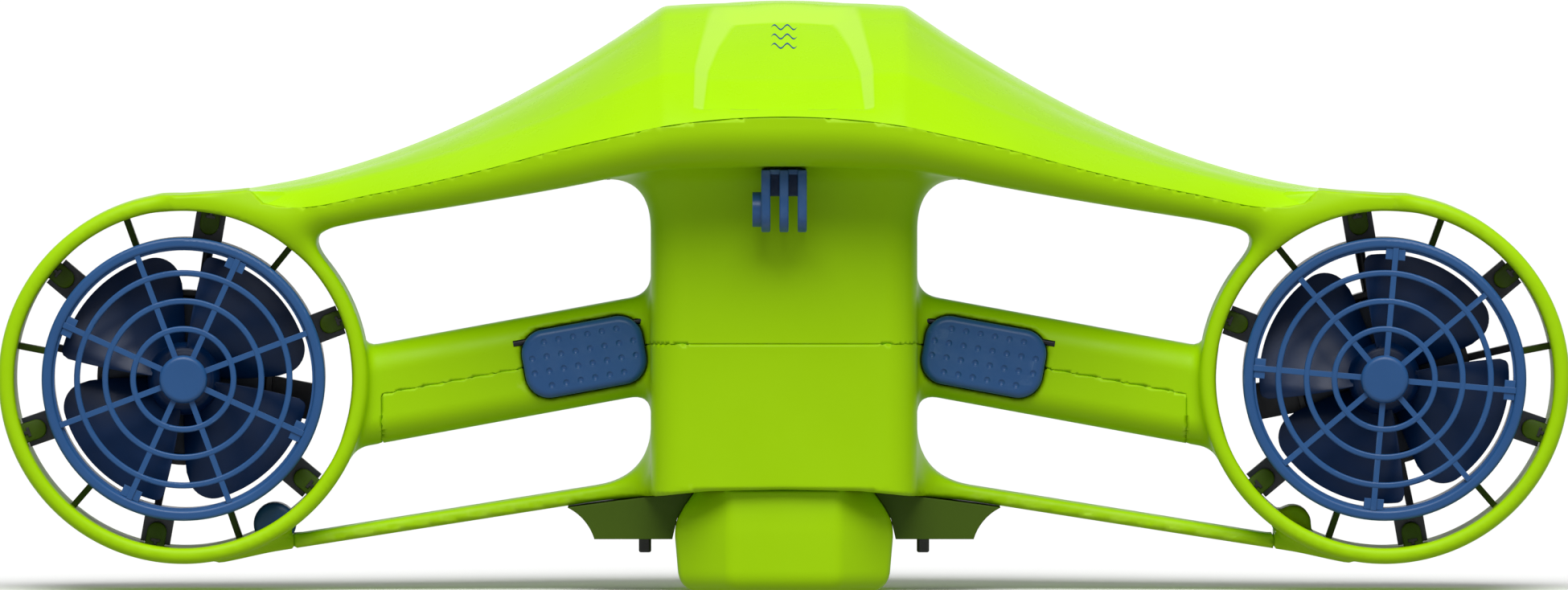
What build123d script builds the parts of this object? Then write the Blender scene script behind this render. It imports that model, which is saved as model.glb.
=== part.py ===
from build123d import *
import os
from math import cos, sin, tan, radians

# Twin-thruster underwater scooter. Millimetres, +Z up, the swimmer travels towards -Y.
# Origin: middle of the footprint, on the bottom face of the battery pod.

# ---------------------------------------------------------------- driving dimensions
SIDES = {"left": -1, "right": 1}

RING_X = 198.4              # thruster axis, measured out from the middle plane
RING_Z = 70.1               # thruster axis height
RING_OUT = 61.1             # outer radius of the green guard ring
RING_IN = 55.7              # bore radius of the guard ring
RING_HALF = 28.0            # half depth of the guard ring

COLUMN_HALF = 44.0          # half width of the square centre column
COLUMN_CORNER = 12.0
COLUMN_WALL = 3.0
COLUMN_TOP = 141.0          # underside of the wing at the middle
COLUMN_BASE = 34.0
SEAM_Z = 82.1               # parting line between upper frame and lower housing

BAR_ANGLE = 10.4            # grip bars slope down outwards
BAR_IN_X = 44.0
BAR_IN_Z = 81.5             # bar centre line at the column
BAR_TALL = 32.4
BAR_DEEP = 30.0
BAR_Y = -8.0
BAR_WALL = 3.0
BAR_LENGTH = 100.0
BAR_SPLIT_X = 133.0         # outboard end of the lower bar half

STRUT_END_X = 162.0
WEB_HALF_Y = 14.0            # half depth of the struts and of the webs beside the rings

PANEL_WALL = 2.5            # wall of the hood
TRAY_WALL = 3.0             # wall of the wing tray
SEAM_GAP = 0.25             # gap along every parting line

# Wing stations: x, crest, crease, seam and underside heights, front edge y, crease y, crest y
WING = [
    (41.3, 192.8, 171.0, 154.4, 140.0, -80.0, -64.0, -15.0),
    (70.0, 173.4, 159.6, 149.2, 134.4, -74.0, -58.0, -14.0),
    (100.0, 157.1, 148.8, 140.4, 129.0, -62.0, -48.0, -12.0),
    (135.0, 142.8, 138.4, 132.4, 123.2, -43.0, -35.0, -8.0),
    (163.0, 135.2, 132.2, 127.0, 119.0, -30.5, -26.5, -4.0),
    (177.0, 132.9, 131.8, 129.6, 122.0, -27.0, -24.0, -2.0),
]
WING_TIP = WING[-1][0]
CROWN = (0.0, 194.7, 171.5, 157.9, 141.0, -80.0, -64.0, -15.0)
LIP_DROP = 10.0             # height of the upright part of the wing's front lip
LIP_BACK = 8.0              # how far the lip rounds back under the wing

GRILLE_R = 46.8             # outer radius of the intake grille
GRILLE_IN = 43.3
GRILLE_FRONT = -27.5
GRILLE_BACK = -24.0
GRILLE_HUB_R = 7.9
DUCT_OUT = 46.4
DUCT_IN = 43.4
DUCT_BACK = 26.0
ARM_ANGLES = (20.6, 80.6, 140.0, 199.0, 260.0, 320.0)     # left thruster; the right mirrors
RIB_ANGLES = (51.0, 110.0, 169.0, 229.0, 289.0)
STRUT_ANGLES = (79.0, 167.0, 258.0)
PYLON_ANGLE = 349.0
ARM_WIDE = 9.8
TONGUE_WIDE = 6.5

PROP_R = 41.3
PROP_HUB_R = 12.0
PROP_FRONT = -19.0
PROP_BACK = -3.0
BLADE_COUNT = 4
BLADE_SWEEP = 76.0          # degrees that one blade covers, seen along the axis
BLADE_THICK = 1.8
PROP_GAP = {"left": 86.4, "right": 16.0}                  # where the first blade gap points

CAN_R = 27.0
CAN_IN = 24.9
CAN_WALL = 2.2
CAN_BACK = 24.0
BEARING_R = 6.5
BEARING_END = 21.8
SEAL_R = 6.0
STATOR_R = 24.8
ROTOR_R = 12.8
SHAFT_R = 2.5
RUN_CLEAR = 0.05            # radial clearance of a running fit

POD_HALF_X = 36.0
POD_HALF_Y = 40.0
CASE_HALF_X = 29.0
CASE_HALF_Y = 38.5
CASE_WALL = 1.5
CASE_TOP = 116.0
CELL_R = 9.1
CELL_LONG = 65.0
BLOCK_BASE = 130.0          # underside of the contact block
CONTACT_PITCH = 9.0

PAD_LONG = 40.5
PAD_TALL = 22.7
PAD_CORNER = 8.0
PAD_MID_X = 66.0
PAD_BACK = 13.8             # pad's rear face, forward of the bar's centre plane
PAD_FRONT = 18.6
DIMPLE_PITCH = 4.85
DIMPLE_R = 1.4

CAMERA_Y = -58.0
CAMERA_Z = 126.7
PRONG_R = 7.5
PRONG_THICK = 3.0
AXLE_R = 2.55

PEG_X = 46.0
SKIRT_BASE = 17.1

TONGUE_TIP = 51.45          # centre of the tongue's round end
TONGUE_BACK = -12.2
TONGUE_THICK = 3.3
RIB_WIDE = 2.1
ARM_BACK = -4.0
ARM_DEEP = 8.0
ARM_END = 55.2
STRUT_WIDE = 2.4
CARRIER_R = 29.0            # ring that holds the motor can
SPOKE_WIDE = 1.9
DUCT_SCREW_AT = 51.6
DUCT_SCREW_R = 0.9
DUCT_HEAD_R = 1.9

SCREW_R = 1.5
HEAD_R = 2.7
HEAD_SUNK = 2.2             # depth of a screw head's counterbore
POST_R = 3.6
POST_LIFT = 4.4             # cover posts start this far above the tray's underside
BAR_SCREWS = (100.0, 122.0)
BAR_SCREW_Y = -6.0
# cover screws: x, y, underside of the tray floor and top of the screw post
COVER_SCREWS = [(60.0, -46.0, 136.6, 167.0), (60.0, 46.0, 136.6, 167.0), (125.0, 0.0, 124.9, 143.6)]

POCKET_FLOOR = 9.0          # trigger pocket's floor, forward of the bar's centre plane
PIN_R = 1.0
PIN_LONG = 45.0
PIN_UP = 8.4                # hinge pin above the bar's centre line
PIN_OUT = 14.6              # hinge pin forward of the bar's centre plane
MAGNET_R = 2.0
SPRING_ALONG = -12.0

LEAD_R = 1.2
LEAD_Y = 8.0
LEAD_POINTS = [(36.0, 151.0), (66.0, 145.0), (100.0, 135.8), (134.0, 129.0), (160.0, 126.0),
               (174.5, 126.6), (186.3, 125.9), (190.6, 116.0)]

POD_CHAMFER = 14.0
POD_SECTIONS = [(34.6, 0.0), (35.0, 6.0), (36.0, 17.6), (34.6, 24.0), (32.4, 28.0), (29.0, 32.3),
                (28.2, 34.4)]
POD_ROOM_X = 24.0           # half width and half depth of the space inside the pod
POD_ROOM_Y = 28.0
CASE_BASE = 34.0            # the straight case stands on the pod from here
NOTCH_Z = 22.0
PEG_WIDE = 4.1
SKIRT_FRONT = -20.0
SKIRT_BACK = 24.0

PORT_X = 168.4
PORT_Z = 22.0
PORT_R = 6.0
PORT_BASE = 8.0
PORT_SPIGOT_R = 2.2

DRY_BASE = 144.3
DRY_TALL = 20.0
DRY_X = 74.0
DRY_DEEP = 80.0
DRY_Y = -4.0
BOARD_BASE = 150.32
BOARD_THICK = 1.6
SEAL_THICK = 0.86           # height of the flat seals under the two lids

MOUNT_TOP = 139.9
MOUNT_WEB = 134.5
PANEL_SUNK = 1.2            # hood panel lies this far below the hood's surface
BUTTON_R = 6.5
BUTTON_PLANE = Plane(origin=(0, 72, 164.7), x_dir=(1, 0, 0), z_dir=(0, 0.648, 0.762))


# ---------------------------------------------------------------- helpers
def front_plane(y):
    """Plane seen by someone in front of the scooter: local x is X, local y is Z."""
    return Plane.XZ.offset(-y)


def axial_plane(side):
    """Half-section plane of one thruster: local x is the radius, local y is Y."""
    return Plane(origin=(side * RING_X, 0, RING_Z), x_dir=(1, 0, 0), z_dir=(0, 0, 1))


def thruster_plane(side, y):
    """Front plane centred on one thruster's axis."""
    return Plane(origin=(side * RING_X, y, RING_Z), x_dir=(1, 0, 0), z_dir=(0, -1, 0))


def thruster_axis(side):
    return Axis((side * RING_X, 0, RING_Z), (0, 1, 0))


def polar(radius, angle):
    """Local point at a radius and an angle in degrees."""
    return (radius * cos(radians(angle)), radius * sin(radians(angle)))


def on_side(side, angle):
    """An angle of the left thruster, mirrored for the right one."""
    return angle if side < 0 else 180.0 - angle


def bar_height(x):
    """Height of a grip bar's centre line."""
    return BAR_IN_Z - (x - BAR_IN_X) * tan(radians(BAR_ANGLE))


def bar_plane(side, x=PAD_MID_X):
    """Front plane that follows a grip bar: local x runs along the bar, local y across it."""
    lean = radians(BAR_ANGLE)
    return Plane(
        origin=(side * x, BAR_Y, bar_height(x)),
        x_dir=(cos(lean), 0, -side * sin(lean)),
        z_dir=(0, -1, 0),
    )


def bar_section(side, x):
    """Plane across a grip bar, its normal pointing outboard along the bar."""
    lean = radians(BAR_ANGLE)
    return Plane(
        origin=(side * x, BAR_Y, bar_height(x)),
        x_dir=(0, 1, 0),
        z_dir=(side * cos(lean), 0, -sin(lean)),
    )


def save(piece, label):
    piece.part.label = label
    export_step(piece.part, f"parts/{label}.step")


def hood_outline(row, wall):
    """Closed hood section at one wing station, drawn in by the wall thickness."""
    x, crest, crease, seam, under, y_front, y_crease, y_crest = row
    drop = wall * 1.15
    base = seam - 4.0 * (wall > 0) + SEAM_GAP * (wall == 0)
    return [
        (y_front + wall, base),
        (y_crease + wall, crease - drop),
        (y_crest, crest - drop),
        (-y_crest, crest - drop),
        (-y_crease - wall, crease - drop),
        (-y_front - wall, base),
    ]


def tray_outline(row, wall):
    """Closed section of the wing below the hood seam, drawn in by the wall thickness."""
    x, crest, crease, seam, under, y_front, y_crease, y_crest = row
    drop = min(LIP_DROP, 0.6 * (seam - under))
    top = seam + 6.0 * (wall > 0)
    return [
        (y_front + wall, top),
        (y_front + wall, seam - drop),
        (y_front + LIP_BACK + 0.7 * wall, under + wall),
        (-y_front - LIP_BACK - 0.7 * wall, under + wall),
        (-y_front - wall, seam - drop),
        (-y_front - wall, top),
    ]


def mirrored(row):
    return (-row[0],) + row[1:]


def wing_runs():
    """The three spans of the wing: straight middle, right wing, left wing."""
    middle = [mirrored(WING[0]), CROWN, WING[0]]
    return [middle, WING, [mirrored(row) for row in reversed(WING)]]


# ---------------------------------------------------------------- green frame and housing
def finger_opening(corners, rounds):
    """One opening of the frame seen from the front, right side, its outer end on the ring."""
    with BuildSketch(mode=Mode.PRIVATE) as opening:
        with BuildLine():
            Polyline(*corners, close=True)
        make_face()
        with Locations((RING_X, RING_Z)):
            Circle(RING_OUT - 0.3, mode=Mode.SUBTRACT)
        for corner, radius in rounds:
            fillet(opening.vertices().sort_by_distance(corner)[0], radius)
    return opening.sketch


def upper_opening():
    """Finger opening between the wing and the grip bar."""
    corners = [(44, 137.6), (44, 97.7), (150, 78.5), (170, 90), (170, 116.8)]
    rounds = [((44, 137.6), 17), ((44, 97.7), 6.5), ((160, 118.4), 6), ((138, 80.7), 3)]
    return finger_opening(corners, rounds)


def lower_opening():
    """Opening between the grip bar and the lower strut."""
    corners = [(44, 65.2), (44, 37.4), (162.1, 18.3), (162.1, 43.4)]
    rounds = [((44, 37.4), 16.5), ((44, 65.2), 6.5), ((141, 47.3), 3)]
    return finger_opening(corners, rounds)


def web_face():
    """Front view of everything between the members, openings cut out, right side."""
    upper = upper_opening()
    lower = lower_opening()
    with BuildSketch(mode=Mode.PRIVATE) as web:
        with BuildLine():
            Polyline(
                (0, 146), (41, 146), (70, 140), (100, 134), (135, 127.5), (163, 122.5),
                (184, 122), (186, 10.4), (161.3, 13.6), (73, 27.5), (46, 31.2), (25, 33.6),
                (0, 34), close=True,
            )
        make_face()
        add(upper, mode=Mode.SUBTRACT)
        add(lower, mode=Mode.SUBTRACT)
    return web.sketch


def wing_solid(outline, wall, spans):
    """Wing-long solid lofted through the stations' sections."""
    with BuildPart() as wing:
        for span in spans:
            for row in span:
                reach = WING_TIP - wall
                with BuildSketch(Plane.YZ.offset(max(-reach, min(reach, row[0])))):
                    with BuildLine():
                        Polyline(*outline(row, wall), close=True)
                    make_face()
            loft()
    return wing.part


def frame_body():
    """Wing tray, guard rings, column, grip bars and struts, before they are parted."""
    web = web_face()
    tray = wing_solid(tray_outline, 0, wing_runs())
    with BuildPart() as frame:
        add(tray)
        with BuildSketch(Plane.XY.offset(COLUMN_BASE)):
            RectangleRounded(2 * COLUMN_HALF, 2 * COLUMN_HALF, COLUMN_CORNER)
        extrude(amount=COLUMN_TOP + 2 - COLUMN_BASE)
        with BuildSketch(front_plane(WEB_HALF_Y)):
            add(web)
            mirror(web, about=Plane.YZ)
        extrude(amount=2 * WEB_HALF_Y)
        for side in SIDES.values():
            with BuildSketch(bar_section(side, 36)):
                RectangleRounded(BAR_DEEP, BAR_TALL, 9)
            extrude(amount=BAR_LENGTH + 10)
            with BuildSketch(thruster_plane(side, RING_HALF)):
                Circle(RING_OUT)
            extrude(amount=2 * RING_HALF)
        for side in SIDES.values():
            with BuildSketch(thruster_plane(side, 90)):
                Circle(RING_IN)
            extrude(amount=180, mode=Mode.SUBTRACT)
    return frame.part


def hollow_cuts():
    """Everything scooped out of the frame: tray, column, bars, pockets and battery mouth."""
    inner = COLUMN_HALF - COLUMN_WALL
    tray = wing_solid(tray_outline, TRAY_WALL, wing_runs())
    with BuildPart() as cuts:
        add(tray)
        with BuildSketch(Plane.XY.offset(COLUMN_BASE + TRAY_WALL)):
            RectangleRounded(2 * inner, 2 * inner, COLUMN_CORNER - COLUMN_WALL)
        extrude(amount=COLUMN_TOP - COLUMN_BASE - TRAY_WALL)
        with BuildSketch(Plane.XY.offset(COLUMN_BASE - 5)):
            RectangleRounded(2 * CASE_HALF_X + 1, 2 * CASE_HALF_Y + 1, 6)
        extrude(amount=20)
        with BuildSketch(Plane.XY.offset(COLUMN_TOP - 5)):
            Circle(8)
        extrude(amount=12)
        for side in SIDES.values():
            with BuildSketch(bar_section(side, 38)):
                with Locations((BAR_WALL, 0)):
                    RectangleRounded(BAR_DEEP - 12, BAR_TALL - 2 * BAR_WALL, 6)
            extrude(amount=BAR_LENGTH - 2)
            with BuildSketch(bar_plane(side).offset(POCKET_FLOOR)):
                RectangleRounded(PAD_LONG + 1, PAD_TALL + 1, PAD_CORNER + 0.5)
            extrude(amount=12)
            with BuildSketch(bar_plane(side)):
                with Locations((0, 1)):
                    Rectangle(9, 10)
            extrude(amount=12)
    return cuts.part


def lower_region(gap):
    """Front view of what belongs to the lower housing, drawn in by the seam gap."""
    seam = SEAM_Z - gap
    with BuildSketch(mode=Mode.PRIVATE) as region:
        with BuildLine():
            Polyline(
                (0, seam), (COLUMN_HALF, seam), (BAR_SPLIT_X - gap, bar_height(BAR_SPLIT_X) - gap),
                (BAR_SPLIT_X + 1.5 - gap, 44), (STRUT_END_X - gap, 30), (STRUT_END_X - gap, 0),
                (0, 0), close=True,
            )
        make_face()
        with Locations((RING_X, RING_Z)):
            Circle(RING_OUT + gap, mode=Mode.SUBTRACT)
        mirror(about=Plane.YZ)
    return region.sketch


def tongue_face(side):
    """Front view of one ring's clip tongues and stiffening ribs."""
    reach = RING_IN + 1 - TONGUE_TIP
    with BuildSketch(mode=Mode.PRIVATE) as tongues:
        for angle in ARM_ANGLES:
            turn = on_side(side, angle)
            with Locations(polar(TONGUE_TIP + reach / 2, turn)):
                SlotOverall(reach + TONGUE_WIDE, TONGUE_WIDE, rotation=turn)
        Circle(TONGUE_TIP - TONGUE_WIDE / 2, mode=Mode.SUBTRACT)
        Circle(RING_OUT - 2, mode=Mode.INTERSECT)
    return tongues.sketch


def rib_face(side):
    """Front view of one ring's thin ribs that steady the duct."""
    reach = RING_IN + 1 - GRILLE_R
    with BuildSketch(mode=Mode.PRIVATE) as ribs:
        for angle in RIB_ANGLES:
            turn = on_side(side, angle)
            with Locations(polar(GRILLE_R + reach / 2, turn)):
                Rectangle(reach, RIB_WIDE, rotation=turn)
    return ribs.sketch


def bar_screw_plane(side, x):
    """Plane under a grip bar, its normal pointing up through the bar."""
    lean = radians(BAR_ANGLE)
    rise = Vector(side * sin(lean), 0, cos(lean))
    middle = Vector(side * x, BAR_SCREW_Y, bar_height(x))
    return Plane(
        origin=middle - rise * (BAR_TALL / 2),
        x_dir=(0, 1, 0),
        z_dir=tuple(rise),
    )


def make_frame_halves():
    """The two green mouldings that meet along the seam."""
    whole = frame_body()
    cuts = hollow_cuts()
    upper_view = lower_region(0)
    lower_view = lower_region(SEAM_GAP)

    with BuildPart() as upper_frame:
        add(whole)
        add(cuts, mode=Mode.SUBTRACT)
        with BuildSketch(front_plane(90)):
            add(upper_view)
        extrude(amount=180, mode=Mode.SUBTRACT)
        for side in SIDES.values():
            tongues = tongue_face(side)
            ribs = rib_face(side)
            with BuildSketch(thruster_plane(side, TONGUE_BACK)):
                add(tongues)
            extrude(amount=TONGUE_THICK)
            with BuildSketch(thruster_plane(side, 6)):
                add(ribs)
            extrude(amount=12)
            # boss low on the ring's inboard side, shortened on the side with the charge port
            boss_back = 20 if side > 0 else PORT_BASE
            with BuildSketch(front_plane(boss_back)):
                with Locations((side * PORT_X, PORT_Z)):
                    Circle(PORT_R)
            extrude(amount=boss_back + 6)
            # screw posts inside the upper half of the bar
            for x in BAR_SCREWS:
                with BuildSketch(bar_screw_plane(side, x).offset(BAR_TALL / 2 + SEAM_GAP)):
                    Circle(POST_R)
                extrude(amount=BAR_TALL / 2 - BAR_WALL + 0.5)
                with BuildSketch(bar_screw_plane(side, x).offset(BAR_TALL / 2)):
                    Circle(SCREW_R + RUN_CLEAR)
                extrude(amount=10, mode=Mode.SUBTRACT)
            # bore for the trigger's hinge pin
            with BuildSketch(trigger_pin_plane(side, -PIN_LONG / 2)):
                Circle(PIN_R + 0.02)
            extrude(amount=PIN_LONG, mode=Mode.SUBTRACT)
        for x, y, floor, top in COVER_SCREWS:
            with Locations((x, y, floor), (-x, y, floor)):
                Cylinder(SCREW_R + 0.2, 12, mode=Mode.SUBTRACT)
            with Locations((x, y, floor + 1.6), (-x, y, floor + 1.6)):
                Cylinder(HEAD_R + 0.3, 12, align=(Align.CENTER, Align.CENTER, Align.MAX),
                         mode=Mode.SUBTRACT)
        # seat for the charge port and its cap, then the bores for its spigot and the duct screws
        with BuildSketch(front_plane(RING_HALF + 5)):
            with Locations((-PORT_X, PORT_Z)):
                Circle(PORT_R + 0.6)
        extrude(amount=RING_HALF + 5 - PORT_BASE, mode=Mode.SUBTRACT)
        with BuildSketch(front_plane(PORT_BASE + 1)):
            with Locations((-PORT_X, PORT_Z)):
                Circle(PORT_SPIGOT_R + 0.05)
        extrude(amount=7, mode=Mode.SUBTRACT)
        for side in SIDES.values():
            with BuildSketch(thruster_plane(side, TONGUE_BACK + 1)):
                for angle in ARM_ANGLES:
                    with Locations(polar(DUCT_SCREW_AT, on_side(side, angle))):
                        Circle(DUCT_SCREW_R + 0.02)
            extrude(amount=3, mode=Mode.SUBTRACT)
            lead = lead_tube(side, LEAD_R + 0.4)
            add(lead, mode=Mode.SUBTRACT)
    save(upper_frame, "upper_frame")

    with BuildPart() as lower_housing:
        add(whole)
        add(cuts, mode=Mode.SUBTRACT)
        with BuildSketch(front_plane(90)):
            add(lower_view)
        extrude(amount=180, mode=Mode.INTERSECT)
        for side in SIDES.values():
            for x in BAR_SCREWS:
                with BuildSketch(bar_screw_plane(side, x).offset(1)):
                    Circle(POST_R)
                extrude(amount=BAR_TALL / 2 - 1 - SEAM_GAP)
                with BuildSketch(bar_screw_plane(side, x).offset(-1)):
                    Circle(SCREW_R + 0.2)
                extrude(amount=BAR_TALL / 2 + 2, mode=Mode.SUBTRACT)
                with BuildSketch(bar_screw_plane(side, x).offset(-1)):
                    Circle(HEAD_R + 0.3)
                extrude(amount=HEAD_SUNK + 1, mode=Mode.SUBTRACT)
    save(lower_housing, "lower_housing")


def hood_window(inset):
    """Front view of the recess in the hood."""
    with BuildSketch(mode=Mode.PRIVATE) as window:
        with BuildLine():
            Polyline(
                (-26.5 + inset, 160.5 + inset), (-24.7 + inset, 174), (-21.2 + inset, 182),
                (-15.5 + inset, 190 - inset), (15.5 - inset, 190 - inset), (21.2 - inset, 182),
                (24.7 - inset, 174), (26.5 - inset, 160.5 + inset), close=True,
            )
        make_face()
    return window.sketch


def make_hood():
    """Glossy top cover with its recessed panel."""
    outer = wing_solid(hood_outline, 0, wing_runs())
    inner = wing_solid(hood_outline, PANEL_WALL, wing_runs())
    with BuildPart() as top_cover:
        add(outer)
        add(inner, mode=Mode.SUBTRACT)
        with BuildSketch(front_plane(-10)):
            add(hood_window(0))
        extrude(amount=80, mode=Mode.SUBTRACT)
        for x, y, floor, top in COVER_SCREWS:
            with Locations((x, y, floor + POST_LIFT), (-x, y, floor + POST_LIFT)):
                Cylinder(POST_R, top - floor - POST_LIFT,
                         align=(Align.CENTER, Align.CENTER, Align.MIN))
                Cylinder(SCREW_R + RUN_CLEAR, 9, mode=Mode.SUBTRACT,
                         align=(Align.CENTER, Align.CENTER, Align.MIN))
        with BuildSketch(BUTTON_PLANE.offset(-8)):
            Circle(BUTTON_R + 0.3)
        extrude(amount=12, mode=Mode.SUBTRACT)
    save(top_cover, "top_cover")

    middle = wing_runs()[:1]
    panel_outer = wing_solid(hood_outline, PANEL_SUNK, middle)
    panel_inner = wing_solid(hood_outline, PANEL_SUNK + 2.0, middle)
    with BuildPart() as hood_panel:
        add(panel_outer)
        add(panel_inner, mode=Mode.SUBTRACT)
        with BuildSketch(front_plane(-11)):
            add(hood_window(0.15))
        extrude(amount=80, mode=Mode.INTERSECT)
    save(hood_panel, "hood_panel")


def make_cover_screws():
    """Screws that go up through the tray floor into the hood's posts."""
    with BuildPart() as cover_screws:
        for x, y, floor, top in COVER_SCREWS:
            with Locations((x, y, floor + 1.55), (-x, y, floor + 1.55)):
                Cylinder(HEAD_R, 1.8, align=(Align.CENTER, Align.CENTER, Align.MAX))
                Cylinder(SCREW_R, 10, align=(Align.CENTER, Align.CENTER, Align.MIN))
    save(cover_screws, "cover_screws")


def make_housing_screws():
    """Screws that pull the lower half of each grip bar up against the upper half."""
    with BuildPart() as housing_screws:
        for side in SIDES.values():
            for x in BAR_SCREWS:
                with BuildSketch(bar_screw_plane(side, x).offset(HEAD_SUNK - 1.8)):
                    Circle(HEAD_R)
                extrude(amount=1.78)
                with BuildSketch(bar_screw_plane(side, x).offset(HEAD_SUNK - 0.05)):
                    Circle(SCREW_R)
                extrude(amount=19)
    save(housing_screws, "housing_screws")


# ---------------------------------------------------------------- ducts and grilles
def make_duct(name, side):
    """Dark shroud round the propeller, with its arms, struts and motor carrier."""
    pylon = on_side(side, PYLON_ANGLE)
    with BuildPart() as duct:
        with BuildSketch(axial_plane(side)):
            with Locations(((DUCT_IN + DUCT_OUT) / 2, (GRILLE_BACK + DUCT_BACK) / 2)):
                RectangleRounded(DUCT_OUT - DUCT_IN, DUCT_BACK - GRILLE_BACK - 0.1, 1.2)
            with Locations(((CAN_R + 0.05 + CARRIER_R) / 2, 12)):
                Rectangle(CARRIER_R - CAN_R - 0.05, 16)
        revolve(axis=thruster_axis(side))
        with BuildSketch(thruster_plane(side, ARM_BACK)):
            for angle in ARM_ANGLES:
                turn = on_side(side, angle)
                with Locations(polar((DUCT_OUT + ARM_END) / 2 - 0.5, turn)):
                    Rectangle(ARM_END - DUCT_OUT + 1, ARM_WIDE, rotation=turn)
        extrude(amount=ARM_DEEP)
        with BuildSketch(thruster_plane(side, 18)):
            for angle in STRUT_ANGLES:
                turn = on_side(side, angle)
                with Locations(polar((CARRIER_R + DUCT_IN) / 2, turn)):
                    Rectangle(DUCT_IN - CARRIER_R + 1, STRUT_WIDE, rotation=turn)
            with Locations(polar((CARRIER_R + DUCT_IN) / 2, pylon)):
                Rectangle(DUCT_IN - CARRIER_R + 1, 12, rotation=pylon)
        extrude(amount=10)
        with BuildSketch(thruster_plane(side, ARM_BACK + 1)):
            for angle in ARM_ANGLES:
                with Locations(polar(DUCT_SCREW_AT, on_side(side, angle))):
                    Circle(DUCT_SCREW_R + 0.1)
        extrude(amount=ARM_DEEP + 2, mode=Mode.SUBTRACT)
        lead = lead_tube(side, LEAD_R + 0.25)
        add(lead, mode=Mode.SUBTRACT)
    save(duct, f"duct_{name}")


def make_duct_screws():
    """Small screws that hold the duct arms to the tongues, heads at the back."""
    with BuildPart() as duct_screws:
        for side in SIDES.values():
            with BuildSketch(thruster_plane(side, ARM_BACK + 1.4)):
                for angle in ARM_ANGLES:
                    with Locations(polar(DUCT_SCREW_AT, on_side(side, angle))):
                        Circle(DUCT_HEAD_R)
            extrude(amount=1.38)
            with BuildSketch(thruster_plane(side, ARM_BACK + 0.03)):
                for angle in ARM_ANGLES:
                    with Locations(polar(DUCT_SCREW_AT, on_side(side, angle))):
                        Circle(DUCT_SCREW_R)
            extrude(amount=ARM_DEEP + 2)
    save(duct_screws, "duct_screws")


def make_front_grille(name, side):
    """Intake grille: rim, three rings, eight spokes, domed hub and four clips."""
    first_spoke = {"left": 20.5, "right": 40.0}[name]
    first_clip = {"left": 65.5, "right": 85.0}[name]
    with BuildPart() as grille:
        with BuildSketch(axial_plane(side)):
            with Locations(((GRILLE_IN + GRILLE_R) / 2, (GRILLE_FRONT + GRILLE_BACK) / 2)):
                RectangleRounded(GRILLE_R - GRILLE_IN, GRILLE_BACK - GRILLE_FRONT, 1.2)
            with Locations((GRILLE_IN - 0.3, GRILLE_BACK + 1.25)):
                Rectangle(0.8, 6.5)
            for radius in (17.6, 26.8, 36.1):
                with Locations((radius - 1, GRILLE_FRONT + 1.4)):
                    RectangleRounded(2, 2.6, 0.6)
        revolve(axis=thruster_axis(side))
        with BuildSketch(thruster_plane(side, GRILLE_FRONT + 2.5)):
            for k in range(8):
                turn = first_spoke + 45 * k
                with Locations(polar(25, turn)):
                    Rectangle(37, SPOKE_WIDE, rotation=turn)
        extrude(amount=2.2)
        with BuildSketch(thruster_plane(side, GRILLE_BACK - 0.6)):
            Circle(GRILLE_HUB_R)
        extrude(amount=GRILLE_BACK - GRILLE_FRONT + 1.2)
        hub_face = grille.faces().sort_by(Axis.Y)[0]
        fillet(hub_face.edges(), 1.6)
        with BuildSketch(thruster_plane(side, GRILLE_BACK + 2)):
            for k in range(4):
                turn = first_clip + 90 * k
                with Locations(polar(41.4, turn)):
                    Rectangle(3.6, 6.5, rotation=turn)
        extrude(amount=4.8)
    save(grille, f"front_grille_{name}")


# ---------------------------------------------------------------- motors
def make_motor(name, side):
    """Sealed motor can with its stator, magnet rotor and shaft."""
    with BuildPart() as motor_can:
        with BuildSketch(axial_plane(side)):
            with BuildLine():
                Polyline(
                    (SEAL_R, 0), (CAN_R - 2, 0), (CAN_R, 2), (CAN_R, CAN_BACK - 4),
                    (CAN_R - 5, CAN_BACK), (0, CAN_BACK), (0, BEARING_END),
                    (BEARING_R, BEARING_END), (BEARING_R, BEARING_END - 4),
                    (BEARING_R + 2.5, BEARING_END - 4), (BEARING_R + 2.5, BEARING_END),
                    (CAN_IN - 3.4, BEARING_END), (CAN_IN, BEARING_END - 2.8),
                    (CAN_IN, CAN_WALL), (BEARING_R + 2.5, CAN_WALL),
                    (BEARING_R + 2.5, CAN_WALL + 4.2), (BEARING_R, CAN_WALL + 4.2),
                    (BEARING_R, CAN_WALL), (SEAL_R, CAN_WALL), close=True,
                )
            make_face()
        revolve(axis=thruster_axis(side))
        lead = lead_tube(side, LEAD_R + 0.25)
        add(lead, mode=Mode.SUBTRACT)
    save(motor_can, f"motor_can_{name}")

    with BuildPart() as stator:
        with BuildSketch(thruster_plane(side, 16)):
            Circle(STATOR_R)
            Circle(ROTOR_R + 0.7, mode=Mode.SUBTRACT)
            with PolarLocations(17.6, 9):
                RectangleRounded(7, 5.2, 1)
            with PolarLocations(17.8, 9, start_angle=20):
                Rectangle(8.4, 3.6, mode=Mode.SUBTRACT)
        extrude(amount=8)
    save(stator, f"stator_{name}")

    with BuildPart() as rotor:
        with BuildSketch(thruster_plane(side, 16.5)):
            Circle(ROTOR_R)
            Circle(SHAFT_R, mode=Mode.SUBTRACT)
        extrude(amount=9)
    save(rotor, f"rotor_{name}")

    with BuildPart() as shaft:
        with BuildSketch(thruster_plane(side, 21)):
            Circle(SHAFT_R)
        extrude(amount=44)
        chamfer(shaft.edges().filter_by(GeomType.CIRCLE), 0.4)
    save(shaft, f"motor_shaft_{name}")


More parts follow.
